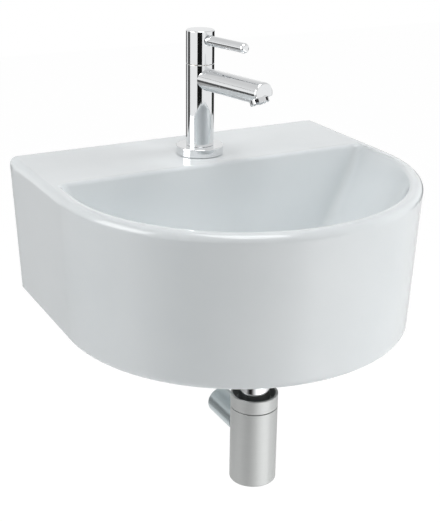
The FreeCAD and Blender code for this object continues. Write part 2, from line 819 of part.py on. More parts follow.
def make_tap_base():
    tail = size.tail_radius
    shank = size.shank_radius
    clear = shank + size.turning_gap
    ring = size.base_ring_radius
    edge = size.edge_round
    seal = size.base_seal_radius
    turned("tap_base_ring", [
        (clear, size.base_seal), (seal + size.seat_gap, size.base_seal),
        (seal + size.seat_gap, RING_UNDER), (ring, RING_UNDER),
        (ring, RING_TOP - edge, ring - edge, RING_TOP - edge), (ring - edge, RING_TOP),
        (clear, RING_TOP)], TAP_AT, TURN)
    tube("tap_base_seal", clear, seal, ZERO, size.base_seal, TAP_AT, TURN)

    tail_end = -size.deck_thickness - size.tail_below_deck
    tail_top = RING_TOP + size.tail_in_column
    rubber_under = -size.deck_thickness - size.deck_rubber
    steel_under = rubber_under - size.deck_steel
    shank_end = steel_under - size.tap_nut_height - BREAK
    turned("tap_tail", [
        (size.tail_bore, tail_end), (tail - BREAK, tail_end), (tail, tail_end + BREAK),
        (tail, shank_end), (shank, shank_end), (shank, tail_top), (size.tail_bore, tail_top)],
        TAP_AT, TURN)
    hole = shank + size.thread_play
    tube("deck_washer_rubber", hole, size.deck_washer_radius, rubber_under, -size.deck_thickness,
         TAP_AT, TURN)
    tube("deck_washer_steel", hole, size.deck_washer_radius, steel_under, rubber_under, TAP_AT, TURN)
    nut = new_body("tap_backnut", TAP_AT, TURN)
    outline = add_sketch(nut, "XY_Plane", steel_under - size.tap_nut_height)
    draw_hexagon(outline, size.tap_nut_flats)
    draw_circle(outline, hole)
    pad(nut, outline, size.tap_nut_height)


def make_tap_body():
    column = size.column_radius
    edge = size.edge_round
    tail_hole = size.shank_radius + size.thread_play
    tail_top = RING_TOP + size.tail_in_column
    thread = size.cartridge_thread + size.thread_play
    body = turned("tap_body", [
        (tail_hole, RING_TOP), (column - edge, RING_TOP), (column, RING_TOP + edge),
        (column, size.column_top - edge / 2), (column - edge / 2, size.column_top),
        (thread, size.column_top), (thread, THREAD_LOW), (size.chamber_radius, THREAD_LOW),
        (size.chamber_radius, size.seat_height), (size.seat_bore, size.seat_height),
        (size.seat_bore, tail_top), (tail_hole, tail_top)], TAP_AT, TURN)
    window = add_sketch(body, "XZ_Plane")
    draw_circle(window, size.port_radius, ZERO, size.spout_height - size.port_drop)
    pocket(body, window, column + MARGIN, along_normal=True)


def make_spout():
    column = size.column_radius
    spout = new_body("spout", TAP_AT, TURN)
    section = add_sketch(spout, "XZ_Plane")
    draw_circle(section, size.spout_radius, ZERO, size.spout_height)
    pad(spout, section, size.spout_reach)

    def end_edge(edge):
        return edge.BoundBox.YMax < TOUCH - size.spout_reach.number
    fillet(spout, size.edge_round, end_edge)
    bore = add_sketch(spout, "XZ_Plane")
    draw_circle(bore, size.spout_radius - size.spout_wall, ZERO, size.spout_height)
    pocket(spout, bore, size.spout_reach - size.spout_end_wall, along_normal=True)
    saddle = add_sketch(spout, "XY_Plane", size.spout_height - size.spout_radius - MARGIN)
    draw_circle(saddle, column + size.seat_gap)
    pocket(spout, saddle, 2 * (size.spout_radius + MARGIN), along_normal=True)
    nozzle = add_sketch(spout, "XY_Plane", size.spout_height - size.aerator_rise)
    draw_circle(nozzle, size.aerator_radius + size.seat_gap, ZERO, -SPOUT_END)
    pocket(spout, nozzle, size.spout_radius)

    nozzle_at = (sine(TURN) * SPOUT_END, -size.tap_setback - cosine(TURN) * SPOUT_END,
                 RIM + size.spout_height)
    shell = size.aerator_radius
    inner = shell - size.aerator_wall
    edge = size.edge_round
    shell_top = -size.aerator_rise - size.seat_gap
    lip = inner - size.aerator_wall / 2
    insert_low = -size.aerator_drop + 2 * edge
    turned("aerator_shell", [
        (lip, -size.aerator_drop), (shell - edge, -size.aerator_drop),
        (shell, edge - size.aerator_drop), (shell, shell_top), (inner, shell_top),
        (inner, insert_low), (lip, insert_low)], nozzle_at, TURN)
    insert_top = insert_low + size.aerator_insert
    insert_r = inner - size.seat_gap
    insert = turned("aerator_insert", [
        (ZERO, insert_low), (insert_r, insert_low), (insert_r, insert_top), (ZERO, insert_top)],
        nozzle_at, TURN)
    for circle_r, count in ((size.aerator_hole_circle, size.aerator_hole_count),
                            (size.aerator_hole_circle / 2, size.aerator_hole_count / 2)):
        jet = add_sketch(insert, "XY_Plane", insert_top)
        draw_circle(jet, size.aerator_hole, circle_r, ZERO)
        cut = pocket(insert, jet, size.aerator_insert)
        around(insert, cut, jet, count)
    tube("aerator_seal", lip, insert_r, insert_top, shell_top, nozzle_at, TURN)


SEAT = size.seat_height
CARTRIDGE_UNDER = SEAT + size.seat_seal
FIXED_TOP = CARTRIDGE_UNDER + size.disc_thickness
TURNING_LOW = FIXED_TOP + size.seat_gap
TURNING_TOP = TURNING_LOW + size.disc_thickness
PLATE_LOW = TURNING_TOP + size.seat_gap
PLATE_TOP = PLATE_LOW + size.drive_plate
CAVITY_TOP = PLATE_TOP + 2 * (size.cartridge_window + MARGIN)


def make_cartridge():
    skirt = size.cartridge_skirt
    thread = size.cartridge_thread
    flange_top = size.column_top + size.cartridge_flange
    hex_top = flange_top + size.cartridge_hex
    body = turned("cartridge_body", [
        (ZERO, CARTRIDGE_UNDER), (skirt, CARTRIDGE_UNDER), (skirt, THREAD_LOW),
        (thread, THREAD_LOW), (thread, size.column_top),
        (size.cartridge_flange_radius, size.column_top),
        (size.cartridge_flange_radius, flange_top), (ZERO, flange_top)], TAP_AT, TURN)
    crown = add_sketch(body, "XY_Plane", flange_top)
    draw_hexagon(crown, size.cartridge_hex_flats)
    pad(body, crown, size.cartridge_hex)
    inner = size.cartridge_inner
    bearing = size.spindle_radius + size.bearing_play
    cavity = add_sketch(body, "XZ_Plane")
    draw_outline(cavity, [
        (ZERO, CARTRIDGE_UNDER - MARGIN), (inner, CARTRIDGE_UNDER - MARGIN), (inner, CAVITY_TOP),
        (bearing, CAVITY_TOP), (bearing, hex_top + MARGIN), (ZERO, hex_top + MARGIN)])
    groove(body, cavity)
    window = add_sketch(body, "XZ_Plane", -skirt - MARGIN)
    draw_circle(window, size.cartridge_window, ZERO, PLATE_TOP + size.cartridge_window + MARGIN)
    pocket(body, window, 2 * (skirt + MARGIN), along_normal=True)

    tube("seat_seal", size.seat_bore, size.disc_radius, SEAT, CARTRIDGE_UNDER, TAP_AT, TURN)
    for label, low in (("disc_fixed", CARTRIDGE_UNDER), ("disc_turning", TURNING_LOW)):
        disc = new_body(label, TAP_AT, TURN)
        blank = add_sketch(disc, "XY_Plane", low)
        draw_circle(blank, size.disc_radius)
        pad(disc, blank, size.disc_thickness)
        along = size.disc_window_circle
        place = (along, ZERO) if label == "disc_fixed" else (ZERO, along)
        window = add_sketch(disc, "XY_Plane", low + size.disc_thickness)
        draw_circle(window, size.disc_window, *place)
        cut = pocket(disc, window, size.disc_thickness)
        around(disc, cut, window, Size.of(2))

    ring_in = skirt + size.seat_gap
    ring_out = size.chamber_radius - size.seat_gap
    ring_top = THREAD_LOW - size.seat_gap
    tube("cartridge_oring", ring_in, ring_out, ring_top - size.oring_height, ring_top, TAP_AT, TURN)

    spindle = turned("cartridge_spindle", [
        (ZERO, PLATE_LOW), (size.disc_radius, PLATE_LOW), (size.disc_radius, PLATE_TOP),
        (size.spindle_radius, PLATE_TOP), (size.spindle_radius, size.spindle_top - BREAK),
        (size.spindle_radius - BREAK, size.spindle_top), (ZERO, size.spindle_top)], TAP_AT, TURN)
    way = add_sketch(spindle, "XY_Plane", PLATE_TOP)
    draw_circle(way, size.disc_window / 2, ZERO, size.disc_window_circle + size.disc_window / 2)
    cut = pocket(spindle, way, size.drive_plate)
    around(spindle, cut, way, Size.of(2))


def make_handle():
    head = size.column_radius
    edge = size.edge_round
    cavity = size.cartridge_flange_radius + size.turning_gap
    cavity_top = size.column_top + size.cartridge_flange + size.cartridge_hex + 2 * MARGIN
    spline = size.spindle_radius + size.bearing_play
    spline_top = size.spindle_top + size.turning_gap
    top = size.head_top
    body = turned("handle_head", [
        (cavity, HEAD_UNDER), (head - edge / 2, HEAD_UNDER), (head, HEAD_UNDER + edge / 2),
        (head, top - edge, head - edge, top - edge), (head - edge, top), (ZERO, top),
        (ZERO, spline_top), (spline, spline_top), (spline, cavity_top), (cavity, cavity_top)],
        TAP_AT, TURN)
    lever = size.lever_radius
    socket = add_sketch(body, "XZ_Plane", size.lever_root)
    draw_circle(socket, lever + size.seat_gap, ZERO, size.lever_height)
    pocket(body, socket, head, along_normal=True)
    grub = size.grub_radius + size.seat_gap
    grub_hole = add_sketch(body, "XZ_Plane")
    draw_circle(grub_hole, grub, ZERO, size.grub_height)
    pocket(body, grub_hole, head + MARGIN)

    root = -size.lever_root - size.seat_gap
    tip = -size.lever_reach
    end = size.lever_round
    lever_at = (ZERO, -size.tap_setback, RIM + size.lever_height)
    turned("lever_rod", [
        (ZERO, root), (lever, root), (lever, tip + end, lever - end, tip + end),
        (lever - end, tip), (ZERO, tip)], lever_at, TURN, role="XY_Plane")
    grub_at = (ZERO, -size.tap_setback, RIM + size.grub_height)
    start = size.spindle_radius + size.seat_gap
    finish = start + size.grub_length
    key = size.grub_socket
    turned("grub_screw", [
        (ZERO, start), (size.grub_radius, start), (size.grub_radius, finish), (key, finish),
        (key, finish - 2 * key), (ZERO, finish - 2 * key)], grub_at, TURN, role="XY_Plane")


# ---------------------------------------------------------------- build, check and write

NODES = [
    "basin", "hanger_bolts", "fixing_bushes", "fixing_washers", "fixing_nuts",
    "waste_grid", "waste_screw", "waste_seal_top", "waste_seal_under", "waste_body",
    "trap_inlet_nut", "trap_inlet_seal", "trap_inlet_tube", "trap_collar", "trap_gland_seal",
    "trap_body", "trap_base_plug", "trap_plug_seal", "outlet_tube",
    "tap_base_ring", "tap_base_seal", "tap_body", "tap_tail", "spout", "aerator_shell",
    "aerator_insert", "aerator_seal", "deck_washer_rubber", "deck_washer_steel", "tap_backnut",
    "cartridge_body", "cartridge_oring", "seat_seal", "disc_fixed", "disc_turning",
    "cartridge_spindle", "handle_head", "lever_rod", "grub_screw",
]

make_basin()
make_fixings()
make_waste()
make_trap()
make_tap_base()
make_tap_body()
make_spout()
make_cartridge()
make_handle()
document.recompute()

for item in document.Objects:
    if "Invalid" in item.State or "Error" in item.State:
        raise RuntimeError("%s (%s) is %s" % (item.Label, item.Name, item.State))
pieces = {}
for node in NODES:
    found = document.getObjectsByLabel(node)
    if len(found) != 1:
        raise RuntimeError("%s: %d objects have this label" % (node, len(found)))
    shape = found[0].Shape
    if shape.isNull() or not shape.isValid() or shape.Volume <= 0:
        raise RuntimeError("%s has no good shape" % node)
    pieces[node] = shape

os.makedirs("parts", exist_ok=True)
for node, shape in pieces.items():
    shape.exportStep("parts/%s.step" % node)
    print("%-20s %2d solid(s) %10.1f mm3" % (node, len(shape.Solids), shape.Volume))
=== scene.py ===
"""Dresses the wall hung basin: glazed ceramic, polished tap, satin bottle trap and plain studio."""
import logging
import math
from dataclasses import dataclass, field
from enum import Enum
from typing import Iterable, Sequence

import bmesh
import bpy
from mathutils import Matrix, Vector


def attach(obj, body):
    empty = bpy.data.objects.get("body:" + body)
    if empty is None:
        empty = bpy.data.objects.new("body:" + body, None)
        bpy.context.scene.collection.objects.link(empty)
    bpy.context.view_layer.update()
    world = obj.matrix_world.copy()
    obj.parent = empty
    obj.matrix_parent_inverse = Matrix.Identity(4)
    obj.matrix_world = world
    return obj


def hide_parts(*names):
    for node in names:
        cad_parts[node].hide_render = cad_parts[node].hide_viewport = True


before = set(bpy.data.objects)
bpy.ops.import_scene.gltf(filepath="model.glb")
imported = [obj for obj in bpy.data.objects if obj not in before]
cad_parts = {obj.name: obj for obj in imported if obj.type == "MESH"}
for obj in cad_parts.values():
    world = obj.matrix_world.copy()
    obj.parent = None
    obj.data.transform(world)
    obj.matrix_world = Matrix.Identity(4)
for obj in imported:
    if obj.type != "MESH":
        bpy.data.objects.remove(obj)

logging.basicConfig(level=logging.INFO, format="%(message)s")
LOG = logging.getLogger("basin")

MM = 0.001
RIM = 70.0  # the rim's height above the fixing studs, in mm
FULL_TURN = 2 * math.pi
QUARTER_TURN = math.pi / 2
SAME_PLACE = 1e-7  # points nearer than this, in metres, are one
Point = tuple[float, float, float]
Colour = tuple[float, float, float]


class Body(Enum):
    """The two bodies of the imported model."""

    ROOT = "root"
    HANDLE = "handle"


class Slot(Enum):
    """The record's material slots."""

    CERAMIC = "glazed_ceramic"
    CHROME = "chrome"
    SATIN = "satin_chrome"
    ZINC = "zinc_steel"
    BRASS = "brass"
    RUBBER = "rubber"
    NYLON = "nylon"
    AERATOR = "aerator_plastic"
    DISC = "valve_ceramic"


class Axis(Enum):
    """Where a turned piece's own axis points before it is swung round: degrees about x, from up."""

    UP = 0.0
    ROOM = 90.0
    WALL = -90.0
    JET = 154.0


# ---------------------------------------------------------------- shader maths

class Signal:
    """A shader socket that adds Math nodes when it is used in an expression."""

    def __init__(self, tree: "ShaderTree", socket: bpy.types.NodeSocket) -> None:
        """Wraps one output socket of a tree."""
        self.tree = tree
        self.socket = socket

    def _math(self, operation: str, *values: "float | Signal") -> "Signal":
        """The value of a new Math node, from numbers or Signals."""
        return self.tree.read("ShaderNodeMath", 0, {"operation": operation}, dict(enumerate(values)))

    def __add__(self, other: "float | Signal") -> "Signal":
        """The sum."""
        return self._math("ADD", self, other)

    __radd__ = __add__

    def __mul__(self, other: "float | Signal") -> "Signal":
        """The product."""
        return self._math("MULTIPLY", self, other)

    __rmul__ = __mul__

    def __sub__(self, other: "float | Signal") -> "Signal":
        """The difference."""
        return self._math("SUBTRACT", self, other)

    def __rsub__(self, other: float) -> "Signal":
        """The difference, from a number."""
        return self._math("SUBTRACT", other, self)

    def __pow__(self, other: "float | Signal") -> "Signal":
        """The power."""
        return self._math("POWER", self, other)

    def between(self, low: float, high: float) -> "Signal":
        """The value, held between two limits."""
        return self._math("MINIMUM", self._math("MAXIMUM", self, low), high)


class ShaderTree:
    """A node tree, and the one way in which nodes are added to it."""

    def __init__(self, tree: bpy.types.NodeTree) -> None:
        """Wraps a node tree."""
        self.tree = tree

    def add(self, kind: str, settings: dict | None = None, inputs: dict | None = None) -> bpy.types.Node:
        """Adds a node with its settings first, and then its sockets.

        Args:
            kind: the node's type.
            settings: attributes of the node; "stops" holds a colour ramp's positions and colours.
            inputs: socket name or number to a value or a Signal.

        Returns:
            The node.
        """
        node = self.tree.nodes.new(kind)
        for key, value in (settings or {}).items():
            if key != "stops":
                setattr(node, key, value)
                continue
            stops = node.color_ramp.elements
            for index, (position, colour) in enumerate(value):
                stop = stops[index] if index < len(stops) else stops.new(position)
                stop.position = position
                stop.color = colour
        self.plug(node, inputs or {})
        return node

    def plug(self, node: bpy.types.Node, inputs: dict) -> None:
        """Sets a node's sockets.

        Args:
            node: the node.
            inputs: socket name or number to a value or a Signal.
        """
        for key, value in inputs.items():
            if isinstance(value, Signal):
                self.tree.links.new(value.socket, node.inputs[key])
            else:
                node.inputs[key].default_value = value

    def read(self, kind: str, output: str | int, settings: dict | None = None,
             inputs: dict | None = None) -> Signal:
        """Adds a node, as add does, and gives one of its outputs, by name or number."""
        return Signal(self, self.add(kind, settings, inputs).outputs[output])


class Surface(ShaderTree):
    """A piece's material, with one Principled shader and what varies over the piece."""

    MIX_SHARE, MIX_FROM, MIX_TO, MIX_COLOUR = 0, 6, 7, 2  # the Mix node's sockets for colours

    def __init__(self, name: str) -> None:
        """Starts a material.

        Args:
            name: the material's name.
        """
        self.material = bpy.data.materials.new(name)
        self.material.use_nodes = True
        super().__init__(self.material.node_tree)
        self.shader = self.tree.nodes["Principled BSDF"]

    def noise(self, scale: float, stretch: Point = (1, 1, 1), detail: float = 3.0) -> Signal:
        """Noise over Object coordinates.

        Args:
            scale: features per metre.
            stretch: extra scale along x, y and z.
            detail: octaves.

        Returns:
            The noise, from 0 to 1.
        """
        place = self.read("ShaderNodeTexCoord", "Object")
        laid = self.read("ShaderNodeMapping", 0, inputs={"Vector": place, "Scale": stretch})
        return self.read("ShaderNodeTexNoise", "Fac", inputs={
            "Vector": laid, "Scale": scale, "Detail": detail, "Roughness": 0.55})

    def tint(self, base: Colour, other: Colour, mask: Signal) -> None:
        """Mixes the base colour towards another colour by a mask."""
        mixed = self.read("ShaderNodeMix", self.MIX_COLOUR, {"data_type": "RGBA"}, {
            self.MIX_SHARE: mask, self.MIX_FROM: (*base, 1), self.MIX_TO: (*other, 1)})
        self.plug(self.shader, {"Base Color": mixed})

    def gloss(self, roughness: Signal) -> None:
        """Varies the roughness over the piece."""
        self.plug(self.shader, {"Roughness": roughness})

    def relief(self, height: Signal, distance: float, strength: float) -> None:
        """Feeds a height, in units of distance, to the shader's normal through a Bump node."""
        bump = self.read("ShaderNodeBump", 0, inputs={
            "Height": height, "Distance": distance, "Strength": strength})
        self.plug(self.shader, {"Normal": bump})


# ---------------------------------------------------------------- finishes

@dataclass(frozen=True)
class Finish:
    """A finish: one Principled shader whose varying inputs come from expressions.

    Attributes:
        name: the material's name.
        colour: base colour, linear.
        roughness: middle roughness.
        metallic: 1 for metal.
        ior: index of refraction of the coat or body.
        coat: weight of the clear coat.
    """

    name: str
    colour: Colour
    roughness: float
    metallic: float = 0.0
    ior: float = 1.5
    coat: float = 0.0

    def material(self) -> bpy.types.Material:
        """Makes the material.

        Returns:
            The finished material.
        """
        surface = Surface(self.name)
        surface.plug(surface.shader, {"Base Color": (*self.colour, 1), "Roughness": self.roughness,
                                      "Metallic": self.metallic, "IOR": self.ior, "Coat Weight": self.coat})
        surface.material.diffuse_color = (*self.colour, 1)
        self.detail(surface)
        return surface.material

    def detail(self, surface: Surface) -> None:
        """Adds what varies over the piece; the plain finish has nothing."""

    def darker(self, share: float) -> Colour:
        """The finish's colour with its brightness cut to a share."""
        return tuple(share * part for part in self.colour)


@dataclass(frozen=True)
class Glaze(Finish):
    """Fired glaze: cool white, nearly smooth, with the long soft waves and fine peel of fired ware.

    Attributes:
        pooled: colour where the glaze has run together.
        smear: how much the roughness varies.
        peel: height of the fine peel, as a share of the long waves' height.
    """

    pooled: Colour = (0.70, 0.745, 0.765)
    smear: float = 0.05
    peel: float = 0.006

    def detail(self, surface: Surface) -> None:
        """Long waves, fine peel, a trace of pooled colour and faint smears in the gloss.

        Args:
            surface: the surface of the new material.
        """
        waves = surface.noise(9.0, detail=1.0)
        peel = surface.noise(260.0, detail=2.0)
        smears = surface.noise(34.0, stretch=(1, 1, 0.4), detail=4.0)
        surface.tint(self.colour, self.pooled, surface.noise(14.0, detail=2.0) ** 3.0)
        surface.gloss(smears * self.smear + (self.roughness - self.smear / 2))
        surface.relief(waves + peel * self.peel, distance=0.0012, strength=0.35)


@dataclass(frozen=True)
class Polished(Finish):
    """Bright plating: mirror bright, with wipe marks in the gloss and a slightly soft surface.

    Attributes:
        smear: how much rougher the wipe marks are.
    """

    smear: float = 0.05

    def detail(self, surface: Surface) -> None:
        """Wipe marks and a slight unevenness of the metal under the plating.

        Args:
            surface: the surface of the new material.
        """
        marks = surface.noise(90.0, stretch=(1, 1, 0.35), detail=5.0)
        wave = surface.noise(42.0, detail=1.0)
        surface.gloss((marks ** 2.0) * self.smear + self.roughness)
        surface.tint(self.colour, self.darker(0.9), surface.noise(60.0) ** 4.0)
        surface.relief(wave, distance=0.0004, strength=0.06)


@dataclass(frozen=True)
class Brushed(Finish):
    """Turned satin metal: fine rings round the upright axis."""

    def detail(self, surface: Surface) -> None:
        """Fine turning rings in the relief and in the gloss.

        Args:
            surface: the surface of the new material.
        """
        rings = surface.noise(60.0, stretch=(0.6, 0.6, 60.0), detail=6.0)
        soft = surface.noise(40.0)
        surface.gloss(rings * 0.12 + soft * 0.06 + (self.roughness - 0.09))
        surface.tint(self.colour, self.darker(0.88), rings ** 2.0)
        surface.relief(rings, distance=0.00012, strength=0.5)


@dataclass(frozen=True)
class Machined(Finish):
    """Turned or plated hardware: cutting marks and slightly cloudy plating.

    Attributes:
        dull: colour of the cloudy patches.
    """

    dull: Colour = (0.4, 0.4, 0.4)

    def detail(self, surface: Surface) -> None:
        """Cutting marks, and cloudy patches that dull the colour and the gloss.

        Args:
            surface: the surface of the new material.
        """
        marks = surface.noise(220.0, stretch=(1, 1, 6.0), detail=4.0)
        cloud = surface.noise(70.0, detail=4.0)
        surface.tint(self.colour, self.dull, cloud ** 2.0)
        surface.gloss(cloud * 0.16 + marks * 0.08 + (self.roughness - 0.1))
        surface.relief(marks, distance=0.00015, strength=0.4)


@dataclass(frozen=True)
class Moulded(Finish):
    """Moulded rubber or plastic: fine grain and slightly uneven gloss.

    Attributes:
        worn: colour of the paler bloom.
        grain: grains per metre.
        depth: height of the grain, in metres.
    """

    worn: Colour = (0.1, 0.1, 0.1)
    grain: float = 900.0
    depth: float = 0.0002

    def detail(self, surface: Surface) -> None:
        """Fine moulded grain with a paler bloom.

        Args:
            surface: the surface of the new material.
        """
        fine = surface.noise(self.grain)
        bloom = surface.noise(55.0, detail=4.0)
        surface.tint(self.colour, self.worn, bloom ** 3.0)
        surface.gloss(bloom * 0.12 + (self.roughness - 0.06))
        surface.relief(fine, self.depth, strength=0.5)


FINISHES: dict[Slot, Finish] = {
    Slot.CERAMIC: Glaze("fired_glaze", (0.775, 0.81, 0.825), 0.09, ior=1.52, coat=0.35),
    Slot.CHROME: Polished("bright_chrome", (0.80, 0.81, 0.82), 0.035, metallic=1.0),
    Slot.SATIN: Brushed("satin_chrome_rings", (0.49, 0.50, 0.495), 0.5, metallic=1.0),
    Slot.ZINC: Machined("zinc_plate", (0.62, 0.63, 0.64), 0.34, metallic=1.0, dull=(0.46, 0.46, 0.44)),
    Slot.BRASS: Machined("turned_brass", (0.62, 0.45, 0.20), 0.30, metallic=1.0, dull=(0.42, 0.29, 0.12)),
    Slot.RUBBER: Moulded("black_rubber", (0.018, 0.018, 0.019), 0.62, worn=(0.05, 0.05, 0.05)),
    Slot.NYLON: Moulded("natural_nylon", (0.70, 0.69, 0.64), 0.48, worn=(0.58, 0.57, 0.52)),
    Slot.AERATOR: Moulded("aerator_plastic", (0.50, 0.53, 0.55), 0.38, worn=(0.40, 0.42, 0.44)),
    Slot.DISC: Moulded("lapped_ceramic", (0.74, 0.73, 0.70), 0.16, worn=(0.62, 0.61, 0.58),
                       grain=1500.0, depth=0.00006),
}


# ---------------------------------------------------------------- mesh work

@dataclass(frozen=True)
class Corner:
    """One corner of a turned outline.

    Attributes:
        radius: distance from the axis, in mm.
        along: place along the axis, in mm.
        ease: width of the rounding, in mm.
    """

    radius: float
    along: float
    ease: float = 0.0


@dataclass(frozen=True)
class Seat:
    """Where a turned piece goes: a point in mm, its axis, and its turn about the upright in degrees."""

    at: Point
    axis: Axis = Axis.UP
    turn: float = 0.0

    def matrix(self) -> Matrix:
        """The seat as a matrix in metres."""
        return (Matrix.Translation(Vector(self.at) * MM)
                @ Matrix.Rotation(math.radians(self.turn), 4, "Z")
                @ Matrix.Rotation(math.radians(self.axis.value), 4, "X"))


def spun(outline: Sequence[Corner], seat: Seat, steps: int) -> bmesh.types.BMesh:
    """Turns a closed outline about its axis, and eases its edges.

    Args:
        outline: corners in order; a corner on the axis closes the piece there.
        seat: where the piece goes.
        steps: faces round the piece.

    Returns:
        The turned mesh, in metres.
    """
    closed = all(corner.radius > 0 for corner in outline)
    work = bmesh.new()
    corners = [work.verts.new((radius * MM, 0.0, along * MM)) for radius, along in held(outline, closed)]
    ends = corners[1:] + corners[:1] if closed else corners[1:]
    edges = [work.edges.new(pair) for pair in zip(corners, ends)]
    bmesh.ops.spin(work, geom=corners + edges, cent=(0, 0, 0), axis=(0, 0, 1), angle=FULL_TURN,
                   steps=steps, use_merge=True, use_duplicate=False)
    bmesh.ops.remove_doubles(work, verts=work.verts, dist=SAME_PLACE)
    bmesh.ops.recalc_face_normals(work, faces=work.faces)
    for corner in outline:
        if corner.ease:
            ease_ring(work, corner)
    work.transform(seat.matrix())
    return work


def held(outline: Sequence[Corner], closed: bool) -> list[tuple[float, float]]:
    """An outline's points, with one more on each side of an eased corner to keep the long faces flat.

    Args:
        outline: the corners in order.
        closed: whether the last corner joins the first.

    Returns:
        Radius and place along the axis of each point, in mm.
    """
    points = []
    last = len(outline) - 1
    for place, corner in enumerate(outline):
        if closed or place > 0:
            points += beside(corner, outline[place - 1])
        points.append((corner.radius, corner.along))
        if closed or place < last:
            points += beside(corner, outline[(place + 1) % len(outline)])
    return points


def beside(corner: Corner, other: Corner) -> list[tuple[float, float]]:
    """The point just past an eased corner's rounding, on its run to another corner.

    Args:
        corner: the corner.
        other: the corner before or after it.

    Returns:
        One point, or none where the corner isn't eased or the run is short.
    """
    gap, spare = 0.25, 0.3
    run = math.hypot(other.radius - corner.radius, other.along - corner.along)
    if not corner.ease or run <= 2 * (max(corner.ease, other.ease) + spare):
        return []
    share = (corner.ease + gap) / run
    return [(corner.radius + (other.radius - corner.radius) * share,
             corner.along + (other.along - corner.along) * share)]


def ease_ring(work: bmesh.types.BMesh, corner: Corner) -> None:
    """Rounds the ring that one corner of the outline drew.

    Args:
        work: the turned mesh, upright at the origin.
        corner: the corner.
    """
    near = 10 * SAME_PLACE
    ring = [edge for edge in work.edges
            if all(abs(math.hypot(vert.co.x, vert.co.y) - corner.radius * MM) < near
                   and abs(vert.co.z - corner.along * MM) < near for vert in edge.verts)]
    segments = max(3, min(9, round(3 * corner.ease)))
    bmesh.ops.bevel(work, geom=ring, offset=corner.ease * MM, offset_type="OFFSET", affect="EDGES",
                    segments=segments, profile=0.5, material=-1, clamp_overlap=True)


def cylinder(radius: float, low: float, high: float, seat: Seat, steps: int = 64) -> bmesh.types.BMesh:
    """A closed cylinder from one place along the seat's axis to another, in mm."""
    return spun([Corner(0, low), Corner(radius, low), Corner(radius, high), Corner(0, high)], seat, steps)


def pins(radius: float, low: float, high: float, seat: Seat,
         places: Iterable[tuple[float, float]]) -> bmesh.types.BMesh:
    """Separate closed pins along a seat's axis, as one mesh.

    Args:
        radius: each pin's radius, in mm.
        low: where the pins start along the axis.
        high: where they end.
        seat: the seat.
        places: each pin's place across the axis, in mm.

    Returns:
        The mesh, in metres.
    """
    work = bmesh.new()
    for across, beyond in places:
        middle = Vector((across, beyond, (low + high) / 2)) * MM
        bmesh.ops.create_cone(work, cap_ends=True, segments=16, radius1=radius * MM, radius2=radius * MM,
                              depth=(high - low) * MM, matrix=seat.matrix() @ Matrix.Translation(middle))
    return work


def round_places(radius: float, count: int, phase: float = 0.0) -> list[tuple[float, float]]:
    """Places evenly spaced round a circle; phase turns them, in degrees."""
    angles = [FULL_TURN * place / count + math.radians(phase) for place in range(count)]
    return [(radius * math.cos(angle), radius * math.sin(angle)) for angle in angles]


def lofted(rings: Sequence[Sequence[Vector]]) -> bmesh.types.BMesh:
    """Draws each ring out of the one before, and joins the last to the first.

    Args:
        rings: the points of each ring in metres, the same number in each.

    Returns:
        The closed mesh.
    """
    work = bmesh.new()
    order = bmesh.ops.create_circle(work, cap_ends=False, radius=1.0, segments=len(rings[0]))["verts"]
    move(order, rings[0])
    first = edges = list(work.edges)
    for ring in rings[1:]:
        grown = bmesh.ops.extrude_edge_only(work, edges=edges)["geom"]
        fresh = {item for item in grown if isinstance(item, bmesh.types.BMVert)}
        edges = [item for item in grown
                 if isinstance(item, bmesh.types.BMEdge) and fresh.issuperset(item.verts)]
        follow = {edge.other_vert(vert): vert for vert in fresh for edge in vert.link_edges
                  if edge.other_vert(vert) not in fresh}
        order = [follow[vert] for vert in order]
        move(order, ring)
    bmesh.ops.bridge_loops(work, edges=first + edges)
    bmesh.ops.recalc_face_normals(work, faces=work.faces)
    return work


def move(verts: Sequence[bmesh.types.BMVert], places: Sequence[Vector]) -> None:
    """Puts each vertex at its place."""
    for vert, place in zip(verts, places):
        vert.co = place


def as_object(name: str, work: bmesh.types.BMesh) -> bpy.types.Object:
    """Makes an object of a mesh and frees the mesh's workspace.

    Args:
        name: the object's name.
        work: the mesh, in metres.

    Returns:
        The object, in the scene.
    """
    mesh = bpy.data.meshes.new(name)
    work.to_mesh(mesh)
    work.free()
    made = bpy.data.objects.new(name, mesh)
    bpy.context.scene.collection.objects.link(made)
    return made


def carve(piece: bpy.types.Object, cutters: Iterable[bmesh.types.BMesh]) -> None:
    """Cuts closed shapes out of a piece, and keeps only the result.

    Args:
        piece: the object to cut.
        cutters: closed meshes in the same frame.
    """
    tools = []
    for place, cutter in enumerate(cutters):
        tool = as_object(f"{piece.name}_cutter_{place}", cutter)
        cut = piece.modifiers.new(f"cut_{place}", "BOOLEAN")
        cut.operation = "DIFFERENCE"
        cut.solver = "EXACT"
        cut.object = tool
        tools.append(tool)
    bpy.context.view_layer.update()
    graph = bpy.context.evaluated_depsgraph_get()
    result = bpy.data.meshes.new_from_object(piece.evaluated_get(graph))
    piece.modifiers.clear()
    done_with = [piece.data] + [tool.data for tool in tools]
    piece.data = result
    for mesh in done_with:
        bpy.data.meshes.remove(mesh)  # which removes a cutter's object too


def crisp(piece: bpy.types.Object, angle: float) -> None:
    """Smooths a piece's faces, and keeps its sharp edges.

    Args:
        piece: the object.
        angle: edges sharper than this stay crisp, in degrees.
    """
    work = bmesh.new()
    work.from_mesh(piece.data)
    bmesh.ops.dissolve_degenerate(work, dist=SAME_PLACE, edges=work.edges)
    for face in work.faces:
        face.smooth = True
    for edge in work.edges:
        edge.smooth = len(edge.link_faces) == 2 and edge.calc_face_angle(0.0) < math.radians(angle)
    work.to_mesh(piece.data)
    work.free()


